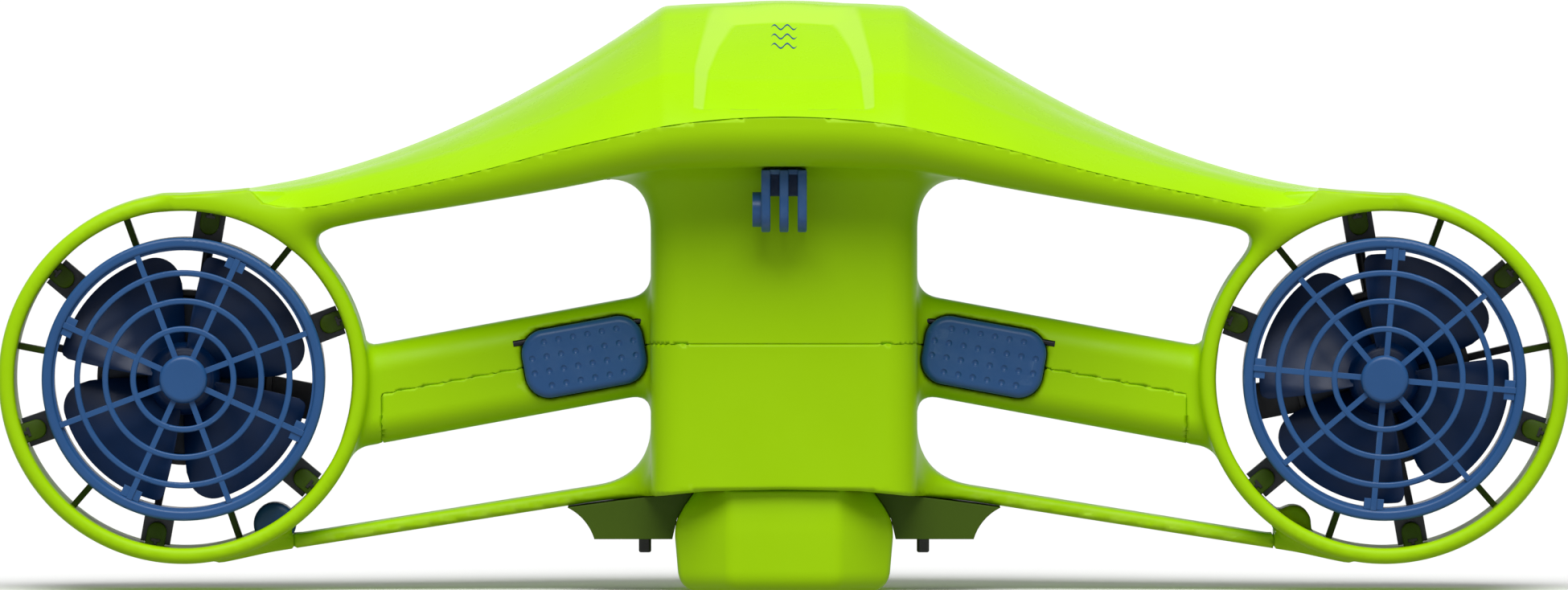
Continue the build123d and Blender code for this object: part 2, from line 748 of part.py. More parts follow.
def make_bearings_and_seals():
    """Two shaft bearings and one front seal in each motor can."""
    with BuildPart() as motor_bearings:
        for side in SIDES.values():
            for back, width in ((6.3, 3.9), (BEARING_END - 0.1, 3.8)):
                with BuildSketch(thruster_plane(side, back)):
                    Circle(BEARING_R - RUN_CLEAR)
                    Circle(SHAFT_R + RUN_CLEAR, mode=Mode.SUBTRACT)
                extrude(amount=width)
    save(motor_bearings, "motor_bearings")

    with BuildPart() as shaft_seals:
        for side in SIDES.values():
            with BuildSketch(thruster_plane(side, 2.3)):
                Circle(SEAL_R - RUN_CLEAR)
                Circle(SHAFT_R + RUN_CLEAR, mode=Mode.SUBTRACT)
            extrude(amount=2.2)
    save(shaft_seals, "shaft_seals")


def blade_part(side, middle):
    """One wide twisted blade, its middle at the given angle seen from the front."""
    half = BLADE_SWEEP / 2
    with BuildPart() as blade:
        # twisted slab, thin across the flow
        for radius, lean in ((9, 40), (20, 27), (32, 18), (44, 13)):
            section = Plane(
                origin=(side * RING_X + radius * cos(radians(middle)), (PROP_FRONT + PROP_BACK) / 2,
                        RING_Z + radius * sin(radians(middle))),
                x_dir=(-sin(radians(middle)), 0, cos(radians(middle))),
                z_dir=(cos(radians(middle)), 0, sin(radians(middle))),
            )
            width = 2 * (radius + 3) * tan(radians(half))
            with BuildSketch(section):
                Rectangle(width, BLADE_THICK, rotation=lean)
        loft()
        # front view of the blade: a sector as wide as its sweep
        with BuildSketch(thruster_plane(side, PROP_BACK + 10)):
            with BuildLine():
                start = polar(PROP_R, middle - half)
                end = polar(PROP_R, middle + half)
                Line((0, 0), start)
                ThreePointArc(start, polar(PROP_R, middle), end)
                Line(end, (0, 0))
            make_face()
        extrude(amount=40, mode=Mode.INTERSECT)
    return blade.part


def make_propeller(name, side):
    """Four-bladed propeller and the nut that holds it on the shaft."""
    with BuildPart() as propeller:
        with BuildSketch(axial_plane(side)):
            with BuildLine():
                Polyline((SHAFT_R, PROP_BACK), (SHAFT_R, PROP_FRONT), (8, PROP_FRONT))
                Line((8, PROP_FRONT), (PROP_HUB_R, PROP_FRONT + 4))
                Polyline((PROP_HUB_R, PROP_FRONT + 4), (PROP_HUB_R, PROP_BACK), (SHAFT_R, PROP_BACK))
            make_face()
        revolve(axis=thruster_axis(side))
        for k in range(BLADE_COUNT):
            blade = blade_part(side, PROP_GAP[name] + 45 + 90 * k)
            add(blade)
        with BuildSketch(thruster_plane(side, 0)):
            Circle(SHAFT_R)
        extrude(amount=40, mode=Mode.SUBTRACT)
    save(propeller, f"propeller_{name}")

    with BuildPart() as prop_nut:
        with BuildSketch(thruster_plane(side, PROP_FRONT - 0.02)):
            RegularPolygon(4.6, 6)
            Circle(SHAFT_R, mode=Mode.SUBTRACT)
        extrude(amount=3)
    save(prop_nut, f"prop_nut_{name}")


def lead_route(side):
    """Motor lead: from the dry box along the wing tray, over the ring and down a strut."""
    top = on_side(side, STRUT_ANGLES[0])
    points = [(side * x, LEAD_Y, z) for x, z in LEAD_POINTS]
    x, z = polar(CAN_R - 1.2, top)
    points.append((side * RING_X + x, LEAD_Y, RING_Z + z))
    return points


def bend_radii(points):
    """As large a bend at every corner as its two runs allow."""
    radii = []
    for before, corner, after in zip(points, points[1:], points[2:]):
        run_in = Vector(corner) - Vector(before)
        run_out = Vector(after) - Vector(corner)
        turn = radians(run_in.get_angle(run_out))
        radii.append(0.45 * min(run_in.length, run_out.length) / tan(turn / 2))
    return radii


def lead_tube(side, radius):
    """Round cord, or the bore for it, along one lead's route."""
    points = lead_route(side)
    with BuildPart() as tube:
        with BuildLine() as route:
            FilletPolyline(*points, radius=bend_radii(points))
        with BuildSketch(Plane(origin=route.line @ 0, z_dir=route.line % 0)):
            Circle(radius)
        sweep(path=route.line)
    return tube.part


def make_lead(name, side):
    """Motor lead, whole from the dry box to the motor can."""
    tube = lead_tube(side, LEAD_R)
    with BuildPart() as lead:
        add(tube)
    save(lead, f"motor_lead_{name}")


# ---------------------------------------------------------------- triggers
def trigger_pin_plane(side, along):
    """Plane across the trigger's hinge pin, at a distance along it."""
    bar = bar_plane(side)
    lean = radians(BAR_ANGLE)
    return Plane(
        origin=bar.from_local_coords((along, PIN_UP, PIN_OUT)),
        x_dir=(0, 1, 0),
        z_dir=(cos(lean), 0, -side * sin(lean)),
    )


def make_trigger(name, side):
    """Two-finger pad hinged along its upper edge, with a lever into the bar."""
    with BuildPart() as trigger:
        with BuildSketch(bar_plane(side).offset(PAD_BACK)):
            RectangleRounded(PAD_LONG, PAD_TALL, PAD_CORNER)
        extrude(amount=PAD_FRONT - PAD_BACK)
        pad_front = trigger.faces().sort_by(Axis.Y)[0]
        fillet(pad_front.edges(), 2.4)
        for row, count in enumerate((6, 8, 8, 6)):
            across = (1.5 - row) * DIMPLE_PITCH
            with Locations(bar_plane(side).offset(PAD_FRONT + 0.9)):
                with Locations((0, across)):
                    with GridLocations(DIMPLE_PITCH, 1, count, 1):
                        Sphere(DIMPLE_R, mode=Mode.SUBTRACT)
        with BuildSketch(bar_plane(side).offset(3)):
            Rectangle(7, 6)
        extrude(amount=PAD_BACK - 3)
        for end in (-1, 1):
            with BuildSketch(trigger_pin_plane(side, end * 13 - 2.5)):
                Circle(PIN_R + 1.1)
            extrude(amount=5)
        with BuildSketch(trigger_pin_plane(side, -PAD_LONG / 2 - 1)):
            Circle(PIN_R + RUN_CLEAR)
        extrude(amount=PAD_LONG + 2, mode=Mode.SUBTRACT)
        with BuildSketch(bar_plane(side).offset(2)):
            Circle(MAGNET_R + 0.01)
        extrude(amount=3.05, mode=Mode.SUBTRACT)
    save(trigger, f"trigger_{name}")

    with BuildPart() as magnet:
        with BuildSketch(bar_plane(side).offset(3.05)):
            Circle(MAGNET_R)
        extrude(amount=1.95)
    save(magnet, f"trigger_magnet_{name}")

    with BuildPart() as spring:
        with BuildLine(bar_plane(side).offset(POCKET_FLOOR + 0.35)) as coil:
            Helix(pitch=0.9, height=3.6, radius=1.9, center=(SPRING_ALONG, -5, 0),
                  direction=(0, -1, 0))
        with BuildSketch(Plane(origin=coil.line @ 0, z_dir=coil.line % 0)):
            Circle(0.25)
        sweep(path=coil.line, is_frenet=True)
    save(spring, f"trigger_spring_{name}")


def make_trigger_small_parts():
    """Hinge pins and the boards that sense the triggers' magnets."""
    with BuildPart() as trigger_pins:
        for side in SIDES.values():
            with BuildSketch(trigger_pin_plane(side, -PIN_LONG / 2 + 0.2)):
                Circle(PIN_R)
            extrude(amount=PIN_LONG - 0.4)
    save(trigger_pins, "trigger_pins")

    with BuildPart() as sensor_boards:
        for side in SIDES.values():
            with BuildSketch(bar_plane(side).offset(-6)):
                Rectangle(24, 12)
            extrude(amount=BOARD_THICK)
            with BuildSketch(bar_plane(side).offset(-4.41)):
                Rectangle(4, 3)
            extrude(amount=1.2)
    save(sensor_boards, "sensor_boards")


# ---------------------------------------------------------------- battery
def pod_outline(half_x):
    """Eight-sided section of the pod at a given half width."""
    cut = POD_CHAMFER
    half_y = POD_HALF_Y - (POD_HALF_X - half_x) * 0.6
    return [
        (-18, -half_y), (18, -half_y), (half_x, -half_y + cut), (half_x, half_y - cut),
        (18, half_y), (-18, half_y), (-half_x, half_y - cut), (-half_x, -half_y + cut),
    ]


def make_battery():
    """Pod with its case, cells, lid and seal, then the sleeve and contacts in the column."""
    with BuildPart() as battery_case:
        for half_x, height in POD_SECTIONS:
            with BuildSketch(Plane.XY.offset(height)):
                with BuildLine():
                    Polyline(*pod_outline(half_x), close=True)
                make_face()
        loft(ruled=True)
        fillet(battery_case.faces().sort_by(Axis.Z)[0].edges(), 2.5)
        with BuildSketch(Plane.XY.offset(CASE_BASE)):
            RectangleRounded(2 * CASE_HALF_X, 2 * CASE_HALF_Y, 5)
        extrude(amount=CASE_TOP - CASE_BASE)
        with BuildSketch(Plane.XY.offset(6)):
            RectangleRounded(2 * POD_ROOM_X, 2 * POD_ROOM_Y, 3.5)
        extrude(amount=30, mode=Mode.SUBTRACT)
        with BuildSketch(Plane.XY.offset(CASE_BASE + 2)):
            RectangleRounded(2 * (CASE_HALF_X - CASE_WALL), 2 * (CASE_HALF_Y - CASE_WALL), 3.5)
        extrude(amount=CASE_TOP - 30, mode=Mode.SUBTRACT)
        # notches for the latch springs
        with Locations((POD_HALF_X + 0.6, 0, NOTCH_Z), (-POD_HALF_X - 0.6, 0, NOTCH_Z)):
            Box(4.8, 13, 3.4, mode=Mode.SUBTRACT)
    save(battery_case, "battery_case")

    with BuildPart() as battery_cells:
        with Locations((0, 0, 44)):
            with GridLocations(2 * CELL_R + 0.1, 2 * CELL_R + 0.1, 3, 4):
                Cylinder(CELL_R, CELL_LONG, align=(Align.CENTER, Align.CENTER, Align.MIN))
        fillet(battery_cells.edges().filter_by(GeomType.CIRCLE), 0.6)
    save(battery_cells, "battery_cells")

    plug_x = 2 * (CASE_HALF_X - CASE_WALL) - 0.4
    plug_y = 2 * (CASE_HALF_Y - CASE_WALL) - 0.4
    with BuildPart() as battery_lid:
        with BuildSketch(Plane.XY.offset(CASE_TOP - 5)):
            RectangleRounded(plug_x, plug_y, 3.3)
        extrude(amount=6)
        with BuildSketch(Plane.XY.offset(CASE_TOP + 0.9)):
            RectangleRounded(2 * CASE_HALF_X, 2 * CASE_HALF_Y, 5)
        extrude(amount=4)
        with BuildSketch(Plane.XY.offset(CASE_TOP + 4.4)):
            with GridLocations(CONTACT_PITCH, 1, 4, 1):
                Circle(2.6)
        extrude(amount=3, mode=Mode.SUBTRACT)
    save(battery_lid, "battery_lid")

    with BuildPart() as battery_seal:
        with BuildSketch(Plane.XY.offset(CASE_TOP + 0.02)):
            RectangleRounded(2 * CASE_HALF_X - 0.4, 2 * CASE_HALF_Y - 0.4, 4.8)
            RectangleRounded(plug_x + 0.4, plug_y + 0.4, 3.4, mode=Mode.SUBTRACT)
        extrude(amount=SEAL_THICK)
    save(battery_seal, "battery_seal")

    with BuildPart() as battery_sleeve:
        with BuildSketch(Plane.XY.offset(COLUMN_BASE + TRAY_WALL + 0.1)):
            RectangleRounded(2 * CASE_HALF_X + 3.6, 2 * CASE_HALF_Y + 3.6, 6)
            RectangleRounded(2 * CASE_HALF_X + 0.8, 2 * CASE_HALF_Y + 0.8, 5.2, mode=Mode.SUBTRACT)
        extrude(amount=92)
    save(battery_sleeve, "battery_sleeve")

    with BuildPart() as contact_block:
        with BuildSketch(Plane.XY.offset(BLOCK_BASE)):
            RectangleRounded(44, 18, 3)
        extrude(amount=COLUMN_TOP - BLOCK_BASE - 0.1)
        with BuildSketch(Plane.XY.offset(CASE_TOP + 4.6)):
            with GridLocations(CONTACT_PITCH, 1, 4, 1):
                Circle(1.5)
        extrude(amount=BLOCK_BASE + 0.5 - CASE_TOP - 4.6)
    save(contact_block, "contact_block")


def make_latch(name, side):
    """Release button under the skirt, its spring and the leaf that holds the battery."""
    with BuildPart() as skirt:
        with BuildSketch(front_plane(SKIRT_BACK)):
            with BuildLine():
                Polyline((71.5, 27.5), (46, 31.0), (29.9, 32.6), (33.1, 28), (35.3, 24),
                         (36.7, 18), (36.9, SKIRT_BASE), (62.7, SKIRT_BASE))
                ThreePointArc((62.7, SKIRT_BASE), (66.0, 23.2), (71.5, 27.5))
            make_face()
        extrude(amount=SKIRT_BACK - SKIRT_FRONT)
        if side < 0:
            mirror(about=Plane.YZ, mode=Mode.REPLACE)
        with Locations((side * 47.5, 0, 18.8)):
            Box(19, 18, 9.6, align=(Align.CENTER, Align.CENTER, Align.MIN), mode=Mode.SUBTRACT)
        with Locations((side * 37, 0, NOTCH_Z)):
            Box(6, 11, 2.6, mode=Mode.SUBTRACT)
        with BuildSketch(Plane.XY.offset(SKIRT_BASE - 1)):
            with Locations((side * PEG_X, 0)):
                RectangleRounded(PEG_WIDE + 0.3, PEG_WIDE + 0.3, 1.1)
        extrude(amount=4, mode=Mode.SUBTRACT)
    save(skirt, f"latch_housing_{name}")

    with BuildPart() as button:
        with BuildSketch(Plane.XY.offset(12.3)):
            with Locations((side * PEG_X, 0)):
                RectangleRounded(PEG_WIDE, PEG_WIDE, 1.0)
        extrude(amount=8)
        fillet(button.faces().sort_by(Axis.Z)[0].edges(), 0.7)
        with BuildSketch(Plane.XY.offset(19.0)):
            with Locations((side * PEG_X, 0)):
                RectangleRounded(7.5, 7.5, 1.5)
        extrude(amount=1.6)
    save(button, f"latch_button_{name}")

    with BuildPart() as coil_spring:
        with BuildLine(Plane.XY.offset(20.95)) as coil:
            Helix(pitch=1.75, height=7.0, radius=2.6, center=(side * PEG_X, 0, 0))
        with BuildSketch(Plane(origin=coil.line @ 0, z_dir=coil.line % 0)):
            Circle(0.3)
        sweep(path=coil.line, is_frenet=True)
    save(coil_spring, f"latch_spring_{name}")

    with BuildPart() as leaf:
        with Locations((side * 39.4, 0, 18.9)):
            Box(0.6, 10, 9.4, align=(Align.CENTER, Align.CENTER, Align.MIN))
        with Locations((side * 36.7, 0, NOTCH_Z)):
            Box(5.0, 10, 0.8)
    save(leaf, f"latch_leaf_{name}")


# ---------------------------------------------------------------- electronics
def make_dry_box():
    """Electronics box under the hood with its lid, seal and control board."""
    with BuildPart() as dry_box:
        with BuildSketch(Plane.XY.offset(DRY_BASE)):
            with Locations((0, DRY_Y)):
                RectangleRounded(DRY_X, DRY_DEEP, 6)
        extrude(amount=DRY_TALL)
        with BuildSketch(Plane.XY.offset(DRY_BASE + 2)):
            with Locations((0, DRY_Y)):
                RectangleRounded(DRY_X - 5, DRY_DEEP - 5, 4)
        extrude(amount=DRY_TALL, mode=Mode.SUBTRACT)
        with BuildSketch(Plane.XY.offset(DRY_BASE + 1.5)):
            with Locations((0, DRY_Y)):
                with GridLocations(54, 58, 2, 2):
                    Circle(3)
        extrude(amount=4.5)
        with BuildSketch(Plane.YZ.offset(-DRY_X / 2 - 1)):
            with Locations((LEAD_Y, LEAD_POINTS[0][1])):
                Circle(LEAD_R + 0.4)
        extrude(amount=DRY_X + 2, mode=Mode.SUBTRACT)
        with Locations((0, DRY_Y + 20, DRY_BASE)):
            Cylinder(3, 8, mode=Mode.SUBTRACT)
    save(dry_box, "dry_box")

    with BuildPart() as dry_box_lid:
        with BuildSketch(Plane.XY.offset(DRY_BASE + DRY_TALL + 0.9)):
            with Locations((0, DRY_Y)):
                RectangleRounded(DRY_X, DRY_DEEP, 6)
        extrude(amount=2.5)
        with BuildSketch(Plane.XY.offset(DRY_BASE + DRY_TALL - 2)):
            with Locations((0, DRY_Y)):
                RectangleRounded(DRY_X - 5.6, DRY_DEEP - 5.6, 3.8)
        extrude(amount=3)
    save(dry_box_lid, "dry_box_lid")

    with BuildPart() as dry_box_seal:
        with BuildSketch(Plane.XY.offset(DRY_BASE + DRY_TALL + 0.02)):
            with Locations((0, DRY_Y)):
                RectangleRounded(DRY_X - 0.4, DRY_DEEP - 0.4, 5.8)
                RectangleRounded(DRY_X - 5, DRY_DEEP - 5, 4, mode=Mode.SUBTRACT)
        extrude(amount=SEAL_THICK)
    save(dry_box_seal, "dry_box_seal")

    board_top = BOARD_BASE + BOARD_THICK
    with BuildPart() as control_board:
        with BuildSketch(Plane.XY.offset(BOARD_BASE)):
            with Locations((0, DRY_Y)):
                Rectangle(62, 66)
        extrude(amount=BOARD_THICK)
        with BuildSketch(Plane.XY.offset(board_top)):
            with Locations((-14, DRY_Y - 12), (14, DRY_Y - 12)):
                Rectangle(12, 12)
            with Locations((0, DRY_Y + 24)):
                Rectangle(30, 6)
        extrude(amount=1.8)
        with BuildSketch(Plane.XY.offset(board_top)):
            with Locations((-14, DRY_Y + 8), (0, DRY_Y + 8), (14, DRY_Y + 8)):
                Circle(4)
        extrude(amount=6)
    save(control_board, "control_board")


def make_power_button():
    """Round push button at the back of the hood, kept in by its flange."""
    with BuildPart() as power_button:
        with BuildSketch(BUTTON_PLANE.offset(-4.6)):
            Circle(BUTTON_R)
        extrude(amount=5.6)
        button_face = power_button.faces().sort_by(Axis.Y)[-1]
        fillet(button_face.edges(), 0.8)
        with BuildSketch(BUTTON_PLANE.offset(-6.2)):
            Circle(BUTTON_R + 1.2)
        extrude(amount=1.7)
    save(power_button, "power_button")


# ---------------------------------------------------------------- camera mount and charge port
def make_camera_mount():
    """Three-prong action-camera foot that hangs under the front lip."""
    with BuildPart() as camera_mount:
        with BuildSketch(Plane.YZ.offset(-2.5 * PRONG_THICK)):
            with BuildLine():
                Line((CAMERA_Y - PRONG_R, CAMERA_Z), (CAMERA_Y - PRONG_R, MOUNT_TOP))
                Line((CAMERA_Y - PRONG_R, MOUNT_TOP), (CAMERA_Y + PRONG_R, MOUNT_TOP))
                Line((CAMERA_Y + PRONG_R, MOUNT_TOP), (CAMERA_Y + PRONG_R, CAMERA_Z))
                ThreePointArc((CAMERA_Y + PRONG_R, CAMERA_Z), (CAMERA_Y, CAMERA_Z - PRONG_R),
                              (CAMERA_Y - PRONG_R, CAMERA_Z))
            make_face()
        extrude(amount=5 * PRONG_THICK)
        for x in (-PRONG_THICK, PRONG_THICK):
            with Locations((x, CAMERA_Y, MOUNT_WEB)):
                Box(PRONG_THICK + 0.1, 40, 40, mode=Mode.SUBTRACT,
                    align=(Align.CENTER, Align.CENTER, Align.MAX))
        with BuildSketch(Plane.YZ.offset(-2.5 * PRONG_THICK - 2.9)):
            with Locations((CAMERA_Y, CAMERA_Z)):
                Circle(5.75)
        extrude(amount=3)
        with BuildSketch(Plane.YZ.offset(-2.5 * PRONG_THICK - 3)):
            with Locations((CAMERA_Y, CAMERA_Z)):
                RegularPolygon(4.65, 6)
        extrude(amount=2.9, mode=Mode.SUBTRACT)
        with BuildSketch(Plane.YZ.offset(-20)):
            with Locations((CAMERA_Y, CAMERA_Z)):
                Circle(AXLE_R)
        extrude(amount=40, mode=Mode.SUBTRACT)
    save(camera_mount, "camera_mount")

    with BuildPart() as camera_nut:
        with BuildSketch(Plane.YZ.offset(-2.5 * PRONG_THICK - 2.7)):
            with Locations((CAMERA_Y, CAMERA_Z)):
                RegularPolygon(4.55, 6)
                Circle(AXLE_R, mode=Mode.SUBTRACT)
        extrude(amount=2.55)
    save(camera_nut, "camera_nut")


def port_disc(back, radius):
    """Round face centred on the charge port."""
    with BuildSketch(front_plane(back), mode=Mode.PRIVATE) as disc:
        with Locations((-PORT_X, PORT_Z)):
            Circle(radius)
    return disc.sketch


def make_charge_port():
    """Two-pole charging socket on the left ring and the rubber cap that plugs over it."""
    with BuildPart() as charge_port:
        extrude(port_disc(PORT_BASE + 8, 4.4), amount=7.95)
        extrude(port_disc(PORT_BASE + 1, PORT_SPIGOT_R), amount=6)
        extrude(port_disc(PORT_BASE + 9, 3.2), amount=6, mode=Mode.SUBTRACT)
        extrude(port_disc(PORT_BASE + 6, 1.1), amount=5)
    save(charge_port, "charge_port")

    with BuildPart() as charge_cap:
        extrude(port_disc(PORT_BASE + 12, PORT_R + 0.2), amount=11.9)
        fillet(charge_cap.edges().filter_by(GeomType.CIRCLE).sort_by(Axis.Y)[-1], 2)
        extrude(port_disc(PORT_BASE + 8.1, 4.5), amount=9, mode=Mode.SUBTRACT)
    save(charge_cap, "charge_cap")


# ---------------------------------------------------------------- build
os.makedirs("parts", exist_ok=True)
make_frame_halves()
make_hood()
make_cover_screws()
make_housing_screws()
for label, direction in SIDES.items():
    make_duct(label, direction)
    make_front_grille(label, direction)
    make_motor(label, direction)
    make_propeller(label, direction)
    make_lead(label, direction)
    make_trigger(label, direction)
    make_latch(label, direction)
make_duct_screws()
make_bearings_and_seals()
make_trigger_small_parts()
make_battery()
make_dry_box()
make_power_button()
make_camera_mount()
make_charge_port()
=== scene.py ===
import math

import bmesh
import bpy
import numpy as np
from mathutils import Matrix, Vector


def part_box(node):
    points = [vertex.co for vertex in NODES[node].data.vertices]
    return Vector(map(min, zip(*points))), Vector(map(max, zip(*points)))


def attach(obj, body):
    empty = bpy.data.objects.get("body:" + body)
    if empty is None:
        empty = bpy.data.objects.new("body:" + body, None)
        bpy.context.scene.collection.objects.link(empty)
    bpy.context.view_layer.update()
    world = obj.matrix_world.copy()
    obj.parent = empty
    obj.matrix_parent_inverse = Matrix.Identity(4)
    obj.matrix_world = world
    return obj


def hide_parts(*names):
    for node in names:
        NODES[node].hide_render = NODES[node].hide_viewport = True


# Twin-thruster underwater scooter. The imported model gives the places, and Blender works in
# metres. Shape values below are in millimetres and are turned into metres by MM.

MM = 0.001

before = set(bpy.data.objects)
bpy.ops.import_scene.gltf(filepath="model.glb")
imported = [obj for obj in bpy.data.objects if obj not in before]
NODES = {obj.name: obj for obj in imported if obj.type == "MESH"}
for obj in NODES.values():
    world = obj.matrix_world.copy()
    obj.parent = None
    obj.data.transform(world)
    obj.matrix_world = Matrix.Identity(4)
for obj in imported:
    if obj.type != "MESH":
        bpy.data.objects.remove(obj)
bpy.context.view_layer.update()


def box_mm(node):
    """Lowest and highest corner of a CAD node, in millimetres."""
    low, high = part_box(node)
    return np.array(low) / MM, np.array(high) / MM


# ---------------------------------------------------------------- driving dimensions
grille_low, grille_high = box_mm("front_grille_right")
frame_low, frame_high = box_mm("upper_frame")
housing_low, housing_high = box_mm("lower_housing")

RING_X = (grille_low[0] + grille_high[0]) / 2
RING_Z = (grille_low[2] + grille_high[2]) / 2
RING_OUT = frame_high[0] - RING_X
RING_WALL = 5.4
RING_IN = RING_OUT - RING_WALL
RING_HALF = 28.0
GRILLE_R = (grille_high[0] - grille_low[0]) / 2

COLUMN_HALF = 44.0
COLUMN_CORNER = 12.0
COLUMN_WALL = 3.0
COLUMN_BASE = 34.0
COLUMN_TOP = 150.0
SEAM_Z = 82.1
HOOD_LAP = 0.35             # the hood's edge reaches this far over the tray's rounded rim
SEAM_LAP = 0.3              # the two green mouldings lap by this much along their seam

BAR_ANGLE = math.radians(10.4)
BAR_IN_X = 44.0
BAR_IN_Z = 81.5
BAR_TALL = 32.4
BAR_DEEP = 30.0
BAR_Y = -8.0
BAR_SPLIT_X = 133.0
PAD_X = 66.0

STRUT_OUT_X = 162.0
# underside of the column and struts: distance out, height
FOOT = np.array([
    (0.0, 34.0), (25.0, 33.5), (35.0, 32.5), (46.7, 31.1), (57.0, 29.7), (73.0, 27.4),
    (161.3, 13.8), (189.0, 9.4), (200.0, 8.9),
])
STRUT_HALF_Y = 14.0

# widths of the fillets where the frame's members meet
COLUMN_BLEND = 20.0
STRUT_BLEND = 18.0
BAR_BLEND = 7.0
RING_BLEND = 4.0
WING_BLEND = 12.0

# boss low on the right ring's inboard side
LUG_X = 168.4
LUG_Z = 22.0
LUG_R = 6.0

HOOD_WALL = 2.5
TRAY_WALL = 3.0

# Wing stations: x, crest, crease, hood seam, underside (heights), then how far the front
# edge, the crease and the crest lie from the middle plane.
WING = np.array([
    (0.0, 194.7, 171.5, 157.9, 141.0, 80.0, 64.0, 15.0),
    (40.0, 192.8, 171.4, 154.7, 140.1, 79.6, 63.6, 15.0),
    (55.0, 182.6, 165.6, 151.4, 137.4, 77.4, 61.4, 14.6),
    (70.0, 173.3, 159.4, 148.0, 134.4, 74.0, 58.0, 14.0),
    (100.0, 157.1, 148.4, 139.9, 129.0, 62.0, 48.0, 12.0),
    (135.0, 142.8, 138.4, 132.0, 123.2, 43.0, 34.0, 8.0),
    (163.0, 135.2, 132.4, 127.2, 118.6, 30.5, 25.5, 5.0),
    (177.0, 132.9, 131.6, 129.0, 119.5, 28.0, 22.0, 4.0),
    (198.4, 131.2, 130.4, 129.4, 124.0, 27.0, 20.0, 4.0),
])
HOOD_TIP = 177.0


# ---------------------------------------------------------------- distance fields
def smooth_min(a, b, k):
    """Union of two distances with a fillet about k wide."""
    h = np.maximum(k - np.abs(a - b), 0.0) / k
    return np.minimum(a, b) - h * h * k * 0.25


def smooth_max(a, b, k):
    return -smooth_min(-a, -b, k)


def cut(a, b, k=0.7):
    """Distance a with the shape of distance b taken out."""
    return smooth_max(a, -b, k)


def rounded_box(a, b, half_a, half_b, r):
    """Distance to a rounded rectangle centred on the origin."""
    qa = np.abs(a) - half_a + r
    qb = np.abs(b) - half_b + r
    outside = np.hypot(np.maximum(qa, 0.0), np.maximum(qb, 0.0))
    return outside + np.minimum(np.maximum(qa, qb), 0.0) - r


def station(x, column):
    """One wing value at |x|: a shallow arch over the middle part, then a smooth curve outwards."""
    xs, ys = WING[1:, 0], WING[1:, column]
    slope = np.gradient(ys, xs)
    middle = WING[0, column] + (ys[0] - WING[0, column]) * (np.abs(x) / xs[0]) ** 2
    ax = np.clip(np.abs(x), xs[0], xs[-1])
    i = np.clip(np.searchsorted(xs, ax) - 1, 0, len(xs) - 2)
    span = xs[i + 1] - xs[i]
    t = (ax - xs[i]) / span
    h00 = (1 + 2 * t) * (1 - t) ** 2
    h10 = t * (1 - t) ** 2
    h01 = t * t * (3 - 2 * t)
    h11 = t * t * (t - 1)
    outer = h00 * ys[i] + h10 * span * slope[i] + h01 * ys[i + 1] + h11 * span * slope[i + 1]
    return np.where(np.abs(x) < xs[0], middle, outer)


def frame_top(x):
    """Height of the frame's upper edge: the hood seam, then flush with the hood past its tip."""
    ax = np.abs(x)
    rise = np.clip((ax - 171.0) / (HOOD_TIP + 0.5 - 171.0), 0.0, 1.0)
    rise = rise * rise * (3 - 2 * rise)
    return station(x, 3) * (1 - rise) + (station(x, 1) - 0.2) * rise


def along_bar(x, z):
    """A point's place along and across the grip bar of its side."""
    ax = np.abs(x)
    dx, dz = ax - BAR_IN_X, z - BAR_IN_Z
    along = dx * math.cos(BAR_ANGLE) - dz * math.sin(BAR_ANGLE)
    across = dx * math.sin(BAR_ANGLE) + dz * math.cos(BAR_ANGLE)
    return along, across


def wing_field(x, y, z, inset):
    """Wing below the hood seam, with a round lip along its front and rear edge."""
    top = frame_top(x)
    under = station(x, 4) + inset
    half_y = station(x, 5) - inset
    tall = np.maximum(station(x, 3) - under, 3.0)
    lip = np.minimum(13.0, 0.8 * tall)
    middle = (under + top + 30.0) / 2
    body = rounded_box(y, z - middle, half_y, middle - under, lip)
    body = np.maximum(body, np.abs(x) - 198.4)
    return body, z - top


def ring_radius(x, z):
    return np.hypot(np.abs(x) - RING_X, z - RING_Z)


def bar_field(x, y, z):
    along, across = along_bar(x, z)
    bar = rounded_box(y - BAR_Y, across, BAR_DEEP / 2, BAR_TALL / 2, 9.0)
    return np.maximum(bar, np.maximum(-20 - along, along - 104))


def strut_field(x, y, z):
    """Thin strut from the column's foot out to the ring."""
    ax = np.abs(x)
    lean = math.radians(9.1)
    dx, dz = ax - 70.0, z - 30.5
    across = dx * math.sin(lean) + dz * math.cos(lean)
    along = dx * math.cos(lean) - dz * math.sin(lean)
    strut = rounded_box(y, across, STRUT_HALF_Y, 2.6, 2.2)
    return np.maximum(strut, np.maximum(-44 - along, along - 118))


def foot_line(x):
    """Height of the arch under the column and of the struts' underside."""
    return np.interp(np.abs(x), FOOT[:, 0], FOOT[:, 1])


def lower_side(x, z):
    """Negative where a point belongs to the lower housing, seen from the front."""
    ax = np.abs(x)
    height = BAR_IN_Z - (ax - BAR_IN_X) * math.tan(BAR_ANGLE)
    line = np.where(ax < COLUMN_HALF, SEAM_Z, height)
    inner = np.maximum(z - line, (ax - BAR_SPLIT_X) * 0.98)
    outer = np.maximum(z - 46.0 + 0.5 * (ax - BAR_SPLIT_X), ax - STRUT_OUT_X)
    outer = np.maximum(outer, BAR_SPLIT_X - 40.0 - ax)
    low = np.minimum(inner, outer)
    return np.maximum(low, RING_OUT - ring_radius(x, z))


